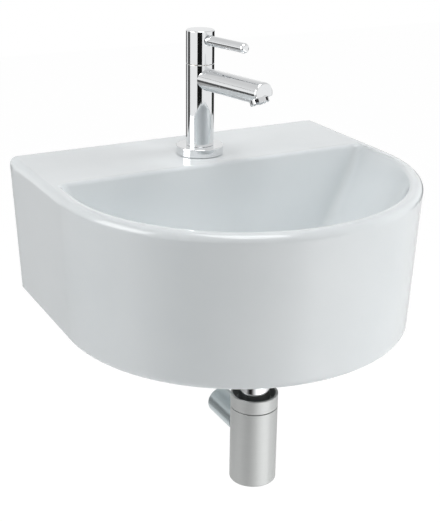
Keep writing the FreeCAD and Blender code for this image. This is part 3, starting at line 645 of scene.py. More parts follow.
class Workshop:
    """Finishes pieces: smooths them, dresses them, and hands them to the frame."""

    def __init__(self) -> None:
        """Mixes every finish once."""
        self.materials = {slot: finish.material() for slot, finish in FINISHES.items()}

    def hand_over(self, piece: bpy.types.Object, node: str, slot: Slot, body: Body = Body.ROOT,
                  angle: float = 32.0) -> bpy.types.Object:
        """Smooths, dresses and places one piece.

        Args:
            piece: the object, in place.
            node: the CAD node that it stands for.
            slot: its finish.
            body: the body that carries it.
            angle: edges sharper than this stay crisp, in degrees.

        Returns:
            The piece.
        """
        crisp(piece, angle)
        piece.data.materials.clear()
        piece.data.materials.append(self.materials[slot])
        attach(piece, body.value)
        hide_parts(node)
        LOG.info("%s: %d faces for %s", piece.name, len(piece.data.polygons), node)
        return piece

    def turn(self, name: str, node: str, slot: Slot, outline: Sequence[Corner], seat: Seat,
             steps: int = 96, cutters: Sequence[bmesh.types.BMesh] = (),
             body: Body = Body.ROOT) -> bpy.types.Object:
        """Turns one round piece, cuts it and hands it over.

        Args:
            name: the piece's name.
            node: the CAD node that it stands for.
            slot: its finish.
            outline: corners in order, as spun takes them.
            seat: where the piece goes.
            steps: faces round the piece.
            cutters: closed meshes to cut out of it.
            body: the body that carries it.

        Returns:
            The piece.
        """
        piece = as_object(name, spun(outline, seat, steps))
        if cutters:
            carve(piece, cutters)
        return self.hand_over(piece, node, slot, body)

    def keep(self, node: str, slot: Slot, body: Body = Body.ROOT) -> None:
        """Stands a merged, smooth copy of a CAD node in its place.

        Args:
            node: the CAD node.
            slot: its finish.
            body: the body that carries it.
        """
        work = bmesh.new()
        work.from_mesh(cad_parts[node].data)
        bmesh.ops.remove_doubles(work, verts=work.verts, dist=SAME_PLACE)
        self.hand_over(as_object(node + "_piece", work), node, slot, body, angle=30.0)


# ---------------------------------------------------------------- basin

@dataclass(frozen=True)
class Loop:
    """A level D seen from above. Sizes in mm.

    Attributes:
        half: half its width, and the radius of its round front.
        back: y of its straight back.
        centre: y of the round front's centre.
        corner: radius of the two back corners.
        depth: how far it lies below the rim.
    """

    half: float
    back: float
    centre: float
    corner: float
    depth: float

    BACK_STEPS = 28
    CORNER_STEPS = 8
    SIDE_STEPS = 12
    FRONT_STEPS = 112

    def points(self) -> list[Vector]:
        """Walks round the loop from the right end of its back.

        Returns:
            The points in metres, the same number for each loop.
        """
        inner = self.half - self.corner
        below = self.back - self.corner
        flat: list[tuple[float, float]] = []
        for step in range(self.CORNER_STEPS):
            angle = QUARTER_TURN * (1 - step / self.CORNER_STEPS)
            flat.append((inner + self.corner * math.cos(angle), below + self.corner * math.sin(angle)))
        for step in range(self.SIDE_STEPS):
            flat.append((self.half, below + (self.centre - below) * step / self.SIDE_STEPS))
        for step in range(self.FRONT_STEPS):
            angle = -math.pi * step / self.FRONT_STEPS
            flat.append((self.half * math.cos(angle), self.centre + self.half * math.sin(angle)))
        for step in range(self.SIDE_STEPS):
            flat.append((-self.half, self.centre + (below - self.centre) * step / self.SIDE_STEPS))
        for step in range(self.CORNER_STEPS):
            angle = math.pi - QUARTER_TURN * step / self.CORNER_STEPS
            flat.append((-inner + self.corner * math.cos(angle), below + self.corner * math.sin(angle)))
        for step in range(self.BACK_STEPS):
            flat.append((-inner + 2 * inner * step / self.BACK_STEPS, self.back))
        return [Vector((x, y, RIM - self.depth)) * MM for x, y in flat]


@dataclass(frozen=True)
class Basin:
    """The ceramic: deck, rolled rim, bowl, drain boss, skirt and back wall. Sizes in mm.

    Attributes:
        straight_side: how far the sides run straight from the wall before they round.
        draft: how much the skirt draws in on each side from the rim to the foot.
        ceiling_front: how far from the wall the deck's underside has come down to the groove.
        ceiling_run: over how much of that it comes down.
        floor_round_depth: height of the bend between the bowl's side and floor.
        side_lean: how much the bowl's side draws in for each mm of depth, at the rim.
        side_curve: how much that grows with depth.
        back_lean: the same as side_lean, for the bowl's back.
        tap_setback: from the wall to the tap's axis, as waste_setback is to the waste's.
    """

    width: float = 400.0
    straight_side: float = 160.0
    height: float = 160.0
    draft: float = 6.4
    skirt_wall: float = 12.0
    back_wall: float = 14.0
    outer_corner: float = 0.5
    inner_corner: float = 2.0
    deck_depth: float = 121.0
    deck_thickness: float = 14.0
    ceiling_front: float = 140.0
    ceiling_run: float = 30.0
    rim_width: float = 14.0
    rim_round: float = 8.0
    lip_round: float = 5.0
    foot_round: float = 3.0
    bowl_depth: float = 120.0
    bowl_wall: float = 10.0
    bowl_corner: float = 10.0
    floor_round_depth: float = 25.0
    side_lean: float = 0.392
    side_curve: float = 0.00214
    back_lean: float = 0.21
    waste_setback: float = 213.0
    recess_radius: float = 40.0
    seat_radius: float = 33.0
    seat_depth: float = 4.0
    drain_radius: float = 23.0
    boss_radius: float = 37.0
    boss_length: float = 20.0
    tap_setback: float = 75.0
    tap_hole: float = 17.5
    fixing_hole: float = 8.0
    fixing_spacing: float = 180.0

    # Where the rings lie, in mm below the rim, closer together where the wall bends.
    SKIRT_RINGS = (154, 148, 140, 128, 112, 96, 80, 64, 48, 34, 22, 14, 10.5)
    BOWL_RINGS = (5.2, 8, 13, 20, 28, 36, 45, 54, 63, 72, 81, 89)
    UNDER_BOWL_RINGS = (120.0, 119.2, 116, 111, 105, 98, 90, 80, 70, 60, 50, 40, 30)
    INSIDE_SKIRT_RINGS = (40, 70, 110, 150)
    GROOVE_TOP = 29.0
    DECK_JOIN = 19.0

    def outer(self, half: float, depth: float) -> Loop:
        """The outer D of a half width at a depth."""
        return Loop(half, 0.0, -self.straight_side, self.outer_corner, depth)

    def inside(self, depth: float, wall: float, back_wall: float) -> Loop:
        """The skirt's inner D at a depth, within walls of two thicknesses."""
        half = self.width / 2 - self.draft * depth / self.height - wall
        return Loop(half, -back_wall, -self.straight_side, self.inner_corner, depth)

    def floor_bend(self) -> tuple[float, float, float]:
        """Where and how the bowl's side bends into its floor.

        Returns:
            The depth where the bend starts, the side's lean there in radians, and the bend's radius.
        """
        start = self.bowl_depth - self.floor_round_depth
        lean = math.atan(self.side_lean + 2 * self.side_curve * start)
        return start, lean, self.floor_round_depth / (1 - math.sin(lean))

    def side_inset(self, depth: float) -> float:
        """How far the bowl's leaning, curved side has drawn in at a depth."""
        return self.side_lean * depth + self.side_curve * depth * depth

    def bowl(self, depth: float, grow: float = 0.0, lowered: float = 0.0) -> Loop:
        """The bowl's D at a depth.

        Args:
            depth: how far below the rim the inner wall is taken.
            grow: the wall's thickness, for the outer wall.
            lowered: how much deeper the loop is put.

        Returns:
            The D.
        """
        start, lean, bend = self.floor_bend()
        inset = self.side_inset(depth)
        rounding = 0.0
        if depth > start:
            slope = math.asin(min(1.0, math.sin(lean) + (depth - start) / bend))
            rounding = bend * (math.cos(lean) - math.cos(slope)) - (inset - self.side_inset(start))
        half = self.width / 2 - self.rim_width - inset - rounding
        back = -self.deck_depth - self.back_lean * depth - rounding / 2
        return Loop(half + grow, back + grow, -self.straight_side - rounding / 2,
                    self.bowl_corner + grow, depth + lowered)

    def lip_shift(self, depth: float, lean: float) -> float:
        """How far the rolled lip lies outside the plain, leaning wall.

        Args:
            depth: how far below the rim.
            lean: the wall's lean, as a slope.

        Returns:
            The distance, in mm.
        """
        alpha = math.atan(lean)
        radius = self.lip_round
        if depth >= radius * (1 - math.sin(alpha)):
            return 0.0
        tangent = radius * (1 - math.sin(alpha)) / math.cos(alpha)
        beta = math.acos(1 - depth / radius)
        return tangent - radius * math.sin(beta) + lean * depth

    def lip(self, depth: float, spread: float = 0.0) -> Loop:
        """The bowl's D at a depth, with its lip rolled.

        Args:
            depth: how far below the rim.
            spread: how much further out the loop is put.

        Returns:
            The D.
        """
        plain = self.bowl(depth)
        side = self.lip_shift(depth, self.side_lean) + spread
        behind = self.lip_shift(depth, self.back_lean) + spread
        return Loop(plain.half + side, plain.back + behind, plain.centre, plain.corner + side, depth)

    def drain(self, radius: float, depth: float) -> list[Vector]:
        """A ring round the waste whose points face those of the bowl floor's D.

        Args:
            radius: the ring's radius.
            depth: how far below the rim.

        Returns:
            The ring's points in metres.
        """
        middle = Vector((0.0, -self.waste_setback, RIM - depth)) * MM
        ring = []
        for point in self.bowl(self.bowl_depth).points():
            away = Vector((point.x - middle.x, point.y - middle.y, 0.0)).normalized()
            ring.append(middle + away * radius * MM)
        return ring

    def outside_rings(self) -> list[list[Vector]]:
        """From the foot up the skirt, over the rolled rim, and across the deck to the lip.

        Returns:
            The points of each ring in metres.
        """
        draft = math.atan(self.draft / self.height)
        foot, foot_steps = self.foot_round, 5
        tangent = foot * math.tan(math.pi / 4 - draft / 2)
        loops = []
        for step in range(foot_steps + 1):
            beta = (QUARTER_TURN - draft) * step / foot_steps
            half = self.width / 2 - self.draft - tangent + foot * math.sin(beta)
            loops.append(self.outer(half, self.height - foot + foot * math.cos(beta)))
        for depth in self.SKIRT_RINGS:
            loops.append(self.outer(self.width / 2 - self.draft * depth / self.height, depth))
        rim, rim_steps = self.rim_round, 12
        edge = self.width / 2 - rim / math.tan(math.pi / 4 - draft / 2)
        for step in range(rim_steps + 1):
            beta = (QUARTER_TURN + draft) * (1 - step / rim_steps)
            loops.append(self.outer(edge + rim * math.sin(beta), rim - rim * math.cos(beta)))
        loops.append(Loop(edge - 0.5, -0.4, -self.straight_side, 0.9, 0.0))
        loops.append(self.lip(0.0, spread=0.5))
        return [loop.points() for loop in loops]

    def inside_rings(self) -> list[list[Vector]]:
        """From the lip down the bowl and over its floor.

        Returns:
            The points of each ring in metres.
        """
        lip_steps, floor_steps = 8, 10
        loops = []
        for step in range(lip_steps + 1):
            beta = math.radians(78.0) * step / lip_steps
            loops.append(self.lip(self.lip_round * (1 - math.cos(beta))))
        for depth in self.BOWL_RINGS:
            loops.append(self.lip(depth))
        start, lean, bend = self.floor_bend()
        for step in range(floor_steps + 1):
            slope = lean + (QUARTER_TURN - lean) * step / floor_steps
            depth = start + bend * (math.sin(slope) - math.sin(lean))
            loops.append(self.bowl(min(depth, self.bowl_depth)))
        return [loop.points() for loop in loops]

    def drain_rings(self) -> list[list[Vector]]:
        """Down the waste's recess, seat and bore, round the boss's foot and up its side.

        Returns:
            The points of each ring in metres.
        """
        floor = self.bowl_depth
        seat = floor + self.seat_depth
        under = floor + self.bowl_wall
        foot = under + self.boss_length
        outline = (
            (self.recess_radius + 4, floor), (self.recess_radius + 0.4, floor),
            (self.recess_radius - 0.4, floor + 0.1), (self.seat_radius + 0.4, floor + 1.4),
            (self.seat_radius, floor + 1.7), (self.seat_radius, seat),
            (self.drain_radius + 0.4, seat), (self.drain_radius, seat + 0.4),
            (self.drain_radius, foot - 0.5), (self.drain_radius + 0.5, foot),
            (self.boss_radius - 1, foot), (self.boss_radius, foot - 1),
            (self.boss_radius, under + 3), (self.boss_radius + 1.5, under + 0.6),
            (self.boss_radius + 4, under))
        return [self.drain(radius, depth) for radius, depth in outline]

    def under_rings(self) -> list[list[Vector]]:
        """From the boss up the bowl's outer wall, under the deck, and down inside the skirt.

        Returns:
            The points of each ring in metres.
        """
        bowl, skirt, back = self.bowl_wall, self.skirt_wall, self.back_wall
        rings = [self.bowl(depth, bowl, bowl).points() for depth in self.UNDER_BOWL_RINGS]
        rings.append(self.ceiling(self.bowl(self.DECK_JOIN, bowl - 4.0, bowl)))
        rings.append(self.ceiling(self.inside(self.GROOVE_TOP, skirt - 0.6, back)))
        for depth in self.INSIDE_SKIRT_RINGS:
            rings.append(self.inside(depth, skirt, back).points())
        rings.append(self.inside(self.height - 1.0, skirt, back).points())
        rings.append(self.inside(self.height, skirt - 1.0, back - 1.0).points())
        return rings

    def ceiling(self, loop: Loop) -> list[Vector]:
        """Lifts a loop's back to the deck's underside; its front stays in the groove by the skirt.

        Args:
            loop: the level loop.

        Returns:
            The lifted points in metres.
        """
        high = (RIM - self.deck_thickness) * MM
        lifted = []
        for point in loop.points():
            share = min(max((point.y / MM + self.ceiling_front) / self.ceiling_run, 0.0), 1.0)
            share = share * share * (3 - 2 * share)
            lifted.append(Vector((point.x, point.y, point.z + (high - point.z) * share)))
        return lifted

    def build(self, shop: Workshop) -> None:
        """Builds the casting in one loft, and cuts the tap and fixing holes.

        Args:
            shop: the workshop that finishes the pieces.
        """
        rings = self.outside_rings() + self.inside_rings() + self.drain_rings() + self.under_rings()
        piece = as_object("basin_ceramic", lofted(rings))
        past = 5.0
        holes = [cylinder(self.tap_hole, -30.0, 10.0, Seat((0, -self.tap_setback, RIM)))]
        for across in (-self.fixing_spacing / 2, self.fixing_spacing / 2):
            holes.append(cylinder(self.fixing_hole, -past, self.back_wall + past,
                                  Seat((across, 0, 0), Axis.ROOM), 48))
        carve(piece, holes)
        shop.hand_over(piece, "basin", Slot.CERAMIC, angle=38.0)


# ---------------------------------------------------------------- tap

@dataclass(frozen=True)
class Tap:
    """The pillar tap: base ring, column, round spout with its aerator, turning head and lever.

    Sizes in mm. Heights are above the deck, and reaches run from the column's axis.

    Attributes:
        turn: how far the spout and lever are turned to the right, in degrees.
        ease: rounding of the main edges, as fine_ease is of those at the seams.
        ring_gap: how far the ring stands clear of the deck, on its seal.
        seal_radius: radius of the hollow under the ring for the seal, and seal_top its height.
        spout_end: length of the solid end of the spout.
        spout_port: radius of the port from the column into the spout.
        jet_setback: how far the aerator's middle stands back from the spout's end.
        jet_drop: how far it lies below the spout's axis.
        aerator_sunk: how deep the aerator sits, as aerator_proud is how far it stands out.
        slot_phase: where the first spanner slot is, in degrees.
        recess_start: where the lever's recess in the head starts.
    """

    setback: float = 75.0
    turn: float = 12.5
    ease: float = 0.9
    fine_ease: float = 0.25

    ring_radius: float = 26.5
    ring_height: float = 10.0
    ring_bore: float = 12.3
    ring_gap: float = 0.5
    seal_radius: float = 23.05
    seal_top: float = 2.5

    column: float = 15.65
    column_top: float = 102.15
    tail_bore: float = 12.06
    tail_top: float = 30.0
    waterway: float = 5.5
    chamber: float = 12.0
    chamber_low: float = 62.0
    chamber_high: float = 92.0
    valve_bore: float = 11.06

    spout_height: float = 86.0
    spout_radius: float = 12.25
    spout_start: float = 2.0
    spout_reach: float = 106.0
    spout_wall: float = 2.0
    spout_ease: float = 2.2
    spout_end: float = 30.0
    spout_port: float = 6.0

    jet_setback: float = 8.8
    jet_drop: float = 6.6
    aerator_radius: float = 10.2
    aerator_sunk: float = 6.8
    aerator_proud: float = 5.1
    aerator_wall: float = 1.7
    sleeve_wall: float = 0.7
    sleeve_gap: float = 0.05
    jet_radius: float = 0.45
    slot_count: int = 5
    slot_width: float = 4.4
    slot_phase: float = 1.4

    head_low: float = 102.5
    head_top: float = 139.0
    head_bore: float = 13.3
    head_bore_top: float = 109.8
    spline_bore: float = 4.05
    spline_top: float = 121.8
    grub_bore: float = 2.05
    grub_height: float = 117.0

    lever_height: float = 129.0
    lever_radius: float = 5.5
    lever_start: float = 5.05
    lever_reach: float = 76.0
    lever_ease: float = 3.4
    recess_start: float = 13.6

    def upright(self) -> Seat:
        """The column's own axis, from the deck up."""
        return Seat((0, -self.setback, RIM), Axis.UP, self.turn)

    def level(self, height: float) -> Seat:
        """A level axis that runs from the column's axis into the room."""
        return Seat((0, -self.setback, RIM + height), Axis.ROOM, self.turn)

    def nozzle(self) -> Seat:
        """The aerator's axis, which leans out of the slanted cut under the spout's end.

        Returns:
            The seat, whose axis points the way the water leaves.
        """
        reach = self.spout_reach - self.jet_setback
        turn = math.radians(self.turn)
        return Seat((math.sin(turn) * reach, -self.setback - math.cos(turn) * reach,
                     RIM + self.spout_height - self.jet_drop), Axis.JET, self.turn)

    def build(self, shop: Workshop) -> None:
        """Builds the tap from the deck up.

        Args:
            shop: the workshop that finishes the pieces.
        """
        self.build_base(shop)
        self.build_column(shop)
        self.build_spout(shop)
        self.build_aerator(shop)
        self.build_head(shop)
        self.build_lever(shop)

    def build_base(self, shop: Workshop) -> None:
        """The round base ring, hollow underneath for its seal."""
        shop.turn("base_ring", "tap_base_ring", Slot.CHROME, [
            Corner(self.ring_bore, self.seal_top), Corner(self.seal_radius, self.seal_top),
            Corner(self.seal_radius, self.ring_gap),
            Corner(self.ring_radius, self.ring_gap, self.fine_ease),
            Corner(self.ring_radius, self.ring_height, self.ease),
            Corner(self.ring_bore, self.ring_height),
        ], self.upright(), steps=128)

    def build_column(self, shop: Workshop) -> None:
        """The column, hollow as the real casting is, with the port to the spout.

        Args:
            shop: the workshop that finishes the pieces.
        """
        port = cylinder(self.spout_port, 1.0, 20.0, self.level(self.spout_height - 5.0))
        shop.turn("column", "tap_body", Slot.CHROME, [
            Corner(self.tail_bore, self.ring_height), Corner(self.column, self.ring_height, 0.6),
            Corner(self.column, self.column_top, self.fine_ease), Corner(self.valve_bore, self.column_top),
            Corner(self.valve_bore, self.chamber_high), Corner(self.chamber, self.chamber_high),
            Corner(self.chamber, self.chamber_low), Corner(self.waterway, self.chamber_low),
            Corner(self.waterway, self.tail_top), Corner(self.tail_bore, self.tail_top),
        ], self.upright(), steps=128, cutters=[port])

    def build_spout(self, shop: Workshop) -> None:
        """The round spout, cut to fit the column and cut aslant under its end for the aerator.

        Args:
            shop: the workshop that finishes the pieces.
        """
        bore = self.spout_radius - self.spout_wall
        bore_end = self.spout_reach - self.spout_end
        fit = cylinder(self.column + 0.05, 60.0, 115.0, self.upright(), 128)
        slant = cylinder(40.0, 0.0, 30.0, self.nozzle(), 96)
        pocket = cylinder(self.aerator_radius + 0.15, -self.aerator_sunk - 0.2, 1.0, self.nozzle(), 96)
        shop.turn("spout_tube", "spout", Slot.CHROME, [
            Corner(bore, self.spout_start), Corner(self.spout_radius, self.spout_start),
            Corner(self.spout_radius, self.spout_reach, self.spout_ease), Corner(0, self.spout_reach),
            Corner(0, bore_end), Corner(bore, bore_end),
        ], self.level(self.spout_height), steps=128, cutters=[fit, slant, pocket])

    def slot_cutter(self) -> bmesh.types.BMesh:
        """The blocks that cut the spanner slots through the aerator's wall.

        Returns:
            The blocks as one mesh, in metres.
        """
        length, height = 5.0, 2 * (self.aerator_proud - 0.4)
        block = Matrix.Diagonal((length * MM, self.slot_width * MM, height * MM, 1.0))
        work = bmesh.new()
        for across, beyond in round_places(self.aerator_radius, self.slot_count, self.slot_phase):
            middle = Matrix.Translation(Vector((across, beyond, self.aerator_proud)) * MM)
            swing = Matrix.Rotation(math.atan2(beyond, across), 4, "Z")
            bmesh.ops.create_cube(work, size=1.0, matrix=self.nozzle().matrix() @ middle @ swing @ block)
        return work

    def build_aerator(self, shop: Workshop) -> None:
        """The aerator's shell with its spanner slots, its sleeve, and the plastic jet plate inside it.

        Args:
            shop: the workshop that finishes the pieces.
        """
        seat = self.nozzle()
        outer, proud, sunk = self.aerator_radius, self.aerator_proud, -self.aerator_sunk
        inner = outer - self.aerator_wall
        shop.turn("aerator_ring", "aerator_shell", Slot.CHROME, [
            Corner(inner, sunk), Corner(outer, sunk), Corner(outer, proud, 0.4), Corner(inner, proud, 0.3),
        ], seat, cutters=[self.slot_cutter()])
        sleeve = inner - self.sleeve_gap
        bore = sleeve - self.sleeve_wall
        sleeve_low, sleeve_top = -6.0, proud - 1.5
        shop.turn("aerator_sleeve", "aerator_seal", Slot.RUBBER, [
            Corner(bore, sleeve_low, 0.2), Corner(sleeve, sleeve_low, 0.2),
            Corner(sleeve, sleeve_top), Corner(bore, sleeve_top),
        ], seat)
        plate = bore - self.sleeve_gap
        plate_low, flange, face = -5.0, proud - 1.45, proud - 0.6
        jets = round_places(1.9, 6) + round_places(4.0, 12) + round_places(6.1, 18)
        shop.turn("jet_plate", "aerator_insert", Slot.AERATOR, [
            Corner(0, plate_low), Corner(plate, plate_low), Corner(plate, flange),
            Corner(sleeve, flange), Corner(sleeve, face, 0.3), Corner(0, face),
        ], seat, cutters=[pins(self.jet_radius, 0.0, 5.0, seat, jets)])

    def build_head(self, shop: Workshop) -> None:
        """The turning head with the lever's recess and socket and the grub screw's hole.

        Args:
            shop: the workshop that finishes the pieces.
        """
        lever = self.level(self.lever_height)
        recess = cylinder(self.lever_radius + 0.9, self.recess_start, 30.0, lever)
        socket = cylinder(self.lever_radius + 0.05, 5.0, 15.0, lever)
        grub = cylinder(self.grub_bore, -30.0, 0.0, self.level(self.grub_height), 32)
        shop.turn("head", "handle_head", Slot.CHROME, [
            Corner(self.head_bore, self.head_low), Corner(self.column, self.head_low, self.fine_ease),
            Corner(self.column, self.head_top, self.ease), Corner(0, self.head_top),
            Corner(0, self.spline_top), Corner(self.spline_bore, self.spline_top),
            Corner(self.spline_bore, self.head_bore_top), Corner(self.head_bore, self.head_bore_top),
        ], self.upright(), steps=128, cutters=[recess, socket, grub], body=Body.HANDLE)

    def build_lever(self, shop: Workshop) -> None:
        """The lever rod with its round end."""
        shop.turn("lever", "lever_rod", Slot.CHROME, [
            Corner(0, self.lever_start), Corner(self.lever_radius, self.lever_start),
            Corner(self.lever_radius, self.lever_reach, self.lever_ease), Corner(0, self.lever_reach),
        ], self.level(self.lever_height), steps=64, body=Body.HANDLE)


# ---------------------------------------------------------------- trap

@dataclass(frozen=True)
class Trap:
    """The bottle trap below the waste: nut, inlet tube, open ring, bottle and outlet tube.

    Sizes in mm. Heights are above the rim, so those of the trap are negative.

    Attributes:
        play: clearance between parts that fit.
        flange: radius of the flange at the tube's top, which the nut holds.
        neck_wall: wall round the neck's recess, neck_depth deep, over a floor of neck_floor.
        plug_recess: radius of the recess for the plug's head, plug_depth deep.
        base_depth: how far above its foot the bottle's inside begins.
        outlet_start: where the outlet begins, from the bottle's middle, as outlet_shoulder is
            where it gets its full width.
    """

    setback: float = 213.0
    play: float = 0.05

    tube: float = 17.5
    tube_bore: float = 16.1
    tube_low: float = -324.0
    tube_top: float = -201.0
    flange: float = 20.85
    flange_low: float = -202.8

    nut: float = 25.0
    nut_bore: float = 20.96
    nut_low: float = -205.8
    nut_high: float = -183.8

    bottle: float = 26.5
    bottle_bore: float = 24.5
    bottle_low: float = -348.0
    neck_wall: float = 2.9
    neck_depth: float = 5.0
    neck_floor: float = 2.0
    neck_bore: float = 17.85
    plug_bore: float = 20.06
    plug_recess: float = 22.8
    plug_depth: float = 3.7
    base_depth: float = 7.0

    collar_top: float = -240.0
    collar_height: float = 15.6
    collar_wall: float = 2.6
    seam: float = 0.7

    outlet: float = 16.0
    outlet_wall: float = 1.8
    outlet_height: float = -290.0
    outlet_start: float = 15.0
    outlet_shoulder: float = 27.7
    outlet_reach: float = 81.0
    pipe_finish: Finish = Polished("grey_chrome", (0.44, 0.495, 0.51), 0.27, metallic=1.0, smear=0.1)

    def upright(self) -> Seat:
        """The waste's axis, measured from the rim."""
        return Seat((0, -self.setback, RIM))

    def outlet_axis(self) -> Seat:
        """The outlet's axis, from the bottle's middle towards the wall."""
        return Seat((0, -self.setback, RIM + self.outlet_height), Axis.WALL)

    def build(self, shop: Workshop) -> None:
        """Builds the trap from the top down.

        Args:
            shop: the workshop that finishes the pieces.
        """
        self.build_inlet(shop)
        self.build_collar(shop)
        self.build_bottle(shop)
        self.build_outlet(shop)

    def build_inlet(self, shop: Workshop) -> None:
        """The compression nut and the tube that dips into the bottle.

        Args:
            shop: the workshop that finishes the pieces.
        """
        opening = self.tube + self.play
        shop.turn("inlet_nut", "trap_inlet_nut", Slot.CHROME, [
            Corner(opening, self.nut_low), Corner(self.nut, self.nut_low, 0.9),
            Corner(self.nut, self.nut_high, 0.9), Corner(self.nut_bore, self.nut_high),
            Corner(self.nut_bore, self.flange_low), Corner(opening, self.flange_low),
        ], self.upright())
        shop.turn("inlet_tube", "trap_inlet_tube", Slot.CHROME, [
            Corner(self.tube_bore, self.tube_low), Corner(self.tube, self.tube_low, 0.3),
            Corner(self.tube, self.flange_low), Corner(self.flange, self.flange_low),
            Corner(self.flange, self.tube_top), Corner(self.tube_bore, self.tube_top),
        ], self.upright())

    def build_collar(self, shop: Workshop) -> None:
        """The open ring over the bottle.

        Args:
            shop: the workshop that finishes the pieces.
        """
        top, under = self.collar_top, self.collar_top - self.collar_height
        opening, inner = self.tube + self.play, self.bottle - self.collar_wall
        floor = under + self.collar_wall
        shop.turn("open_ring", "trap_collar", Slot.SATIN, [
            Corner(opening, under), Corner(self.bottle, under, 0.5), Corner(self.bottle, top, 0.5),
            Corner(inner, top, 0.4), Corner(inner, floor), Corner(opening, floor),
        ], self.upright(), steps=128)

    def build_bottle(self, shop: Workshop) -> None:
        """The bottle, open below for its plug, with its neck and the hole for the outlet.

        Args:
            shop: the workshop that finishes the pieces.
        """
        top = self.collar_top - self.collar_height - self.seam
        low = self.bottle_low
        neck = self.bottle - self.neck_wall
        shelf = top - self.neck_depth
        ceiling = shelf - self.neck_floor
        port = cylinder(self.outlet - 0.55, 5.0, 40.0, self.outlet_axis())
        shop.turn("bottle", "trap_body", Slot.SATIN, [
            Corner(self.plug_bore, low + self.plug_depth), Corner(self.plug_recess, low + self.plug_depth),
            Corner(self.plug_recess, low), Corner(self.bottle, low, 1.2), Corner(self.bottle, top, 0.5),
            Corner(neck, top), Corner(neck, shelf), Corner(self.neck_bore, shelf),
            Corner(self.neck_bore, ceiling), Corner(self.bottle_bore, ceiling),
            Corner(self.bottle_bore, low + self.base_depth), Corner(self.plug_bore, low + self.base_depth),
        ], self.upright(), steps=128, cutters=[port])

    def build_outlet(self, shop: Workshop) -> None:
        """The level outlet tube towards the wall, fitted to the bottle's inside.

        Args:
            shop: the workshop that finishes the pieces.
        """
        bore = self.outlet - self.outlet_wall
        spigot = self.outlet - 0.6
        inside = cylinder(self.bottle_bore - self.play, -330.0, -250.0, self.upright(), 96)
        piece = shop.turn("outlet", "outlet_tube", Slot.CHROME, [
            Corner(bore, self.outlet_start), Corner(spigot, self.outlet_start),
            Corner(spigot, self.outlet_shoulder), Corner(self.outlet, self.outlet_shoulder, 0.2),
            Corner(self.outlet, self.outlet_reach, 0.35), Corner(bore, self.outlet_reach, 0.2),
        ], self.outlet_axis(), cutters=[inside])
        piece.data.materials[0] = self.pipe_finish.material()


# ---------------------------------------------------------------- small hardware

@dataclass(frozen=True)
class Hardware:
    """The fixings, waste, seals and cartridge, each a smooth copy of its own node."""

    fixed: dict[str, Slot] = field(default_factory=lambda: {
        "hanger_bolts": Slot.ZINC, "fixing_bushes": Slot.NYLON, "fixing_washers": Slot.ZINC,
        "fixing_nuts": Slot.ZINC, "waste_grid": Slot.CHROME, "waste_screw": Slot.CHROME,
        "waste_seal_top": Slot.RUBBER, "waste_seal_under": Slot.RUBBER, "waste_body": Slot.CHROME,
        "trap_inlet_seal": Slot.RUBBER, "trap_gland_seal": Slot.RUBBER, "trap_base_plug": Slot.SATIN,
        "trap_plug_seal": Slot.RUBBER, "tap_base_seal": Slot.RUBBER, "tap_tail": Slot.BRASS,
        "deck_washer_rubber": Slot.RUBBER, "deck_washer_steel": Slot.ZINC, "tap_backnut": Slot.BRASS,
        "cartridge_body": Slot.BRASS, "cartridge_oring": Slot.RUBBER, "seat_seal": Slot.RUBBER,
        "disc_fixed": Slot.DISC})
    turning: dict[str, Slot] = field(default_factory=lambda: {
        "disc_turning": Slot.DISC, "cartridge_spindle": Slot.BRASS, "grub_screw": Slot.ZINC})

    def build(self, shop: Workshop) -> None:
        """Dresses each small piece on the body that carries it.

        Args:
            shop: the workshop that finishes the pieces.
        """
        for node, slot in self.fixed.items():
            shop.keep(node, slot)
        for node, slot in self.turning.items():
            shop.keep(node, slot, Body.HANDLE)


# ---------------------------------------------------------------- studio

@dataclass(frozen=True)
class Lamp:
    """A soft lamp.

    Attributes:
        name: the lamp's name.
        at: where it hangs, in metres.
        size: its width and height, in metres.
        power: in watts.
        aim: the point that it faces.
        mirrored: whether gloss shows the lamp itself, and not only its light.
    """

    name: str
    at: Point
    size: tuple[float, float]
    power: float
    aim: Point = (0.0, -0.16, -0.02)
    mirrored: bool = True

    def hang(self) -> None:
        """Adds the lamp."""
        light = bpy.data.lights.new(self.name, "AREA")
        light.shape = "RECTANGLE"
        light.size, light.size_y = self.size
        light.energy = self.power
        made = bpy.data.objects.new(self.name, light)
        made.location = self.at
        made.rotation_mode = "QUATERNION"
        made.rotation_quaternion = (Vector(self.aim) - Vector(self.at)).to_track_quat("-Z", "Y")
        made.visible_glossy = self.mirrored
        bpy.context.scene.collection.objects.link(made)


@dataclass(frozen=True)
class Sector:
    """Two directions from the tap, in degrees from straight into the room, positive towards +x."""

    start: float
    end: float

    CENTRE_Y = -0.1  # the upright axis from which directions are counted, just in front of the tap

    @property
    def middle(self) -> float:
        """The direction halfway, in degrees."""
        return (self.start + self.end) / 2

    @property
    def half(self) -> float:
        """Half the angle between them, in radians."""
        return math.radians((self.end - self.start) / 2)

    @classmethod
    def point(cls, direction: float, away: float, height: float) -> Point:
        """The point in metres at a direction, a distance from the axis and a height."""
        angle = math.radians(direction)
        return (math.sin(angle) * away, cls.CENTRE_Y - math.cos(angle) * away, height)


@dataclass(frozen=True)
class Panel:
    """A low upright soft panel behind the boards: its sector, power in watts, distance and edges."""

    name: str
    sector: Sector
    power: float
    away: float = 1.7
    low: float = -0.8
    high: float = -0.45

    def lamp(self) -> Lamp:
        """The panel as a lamp.

        Returns:
            The lamp, which faces the axis that directions are counted from.
        """
        width = 2 * self.away * math.tan(self.sector.half)
        height = (self.low + self.high) / 2
        at = Sector.point(self.sector.middle, self.away, height)
        aim = Sector.point(0.0, 0.0, height)
        return Lamp(self.name, at, (width, self.high - self.low), self.power, aim)


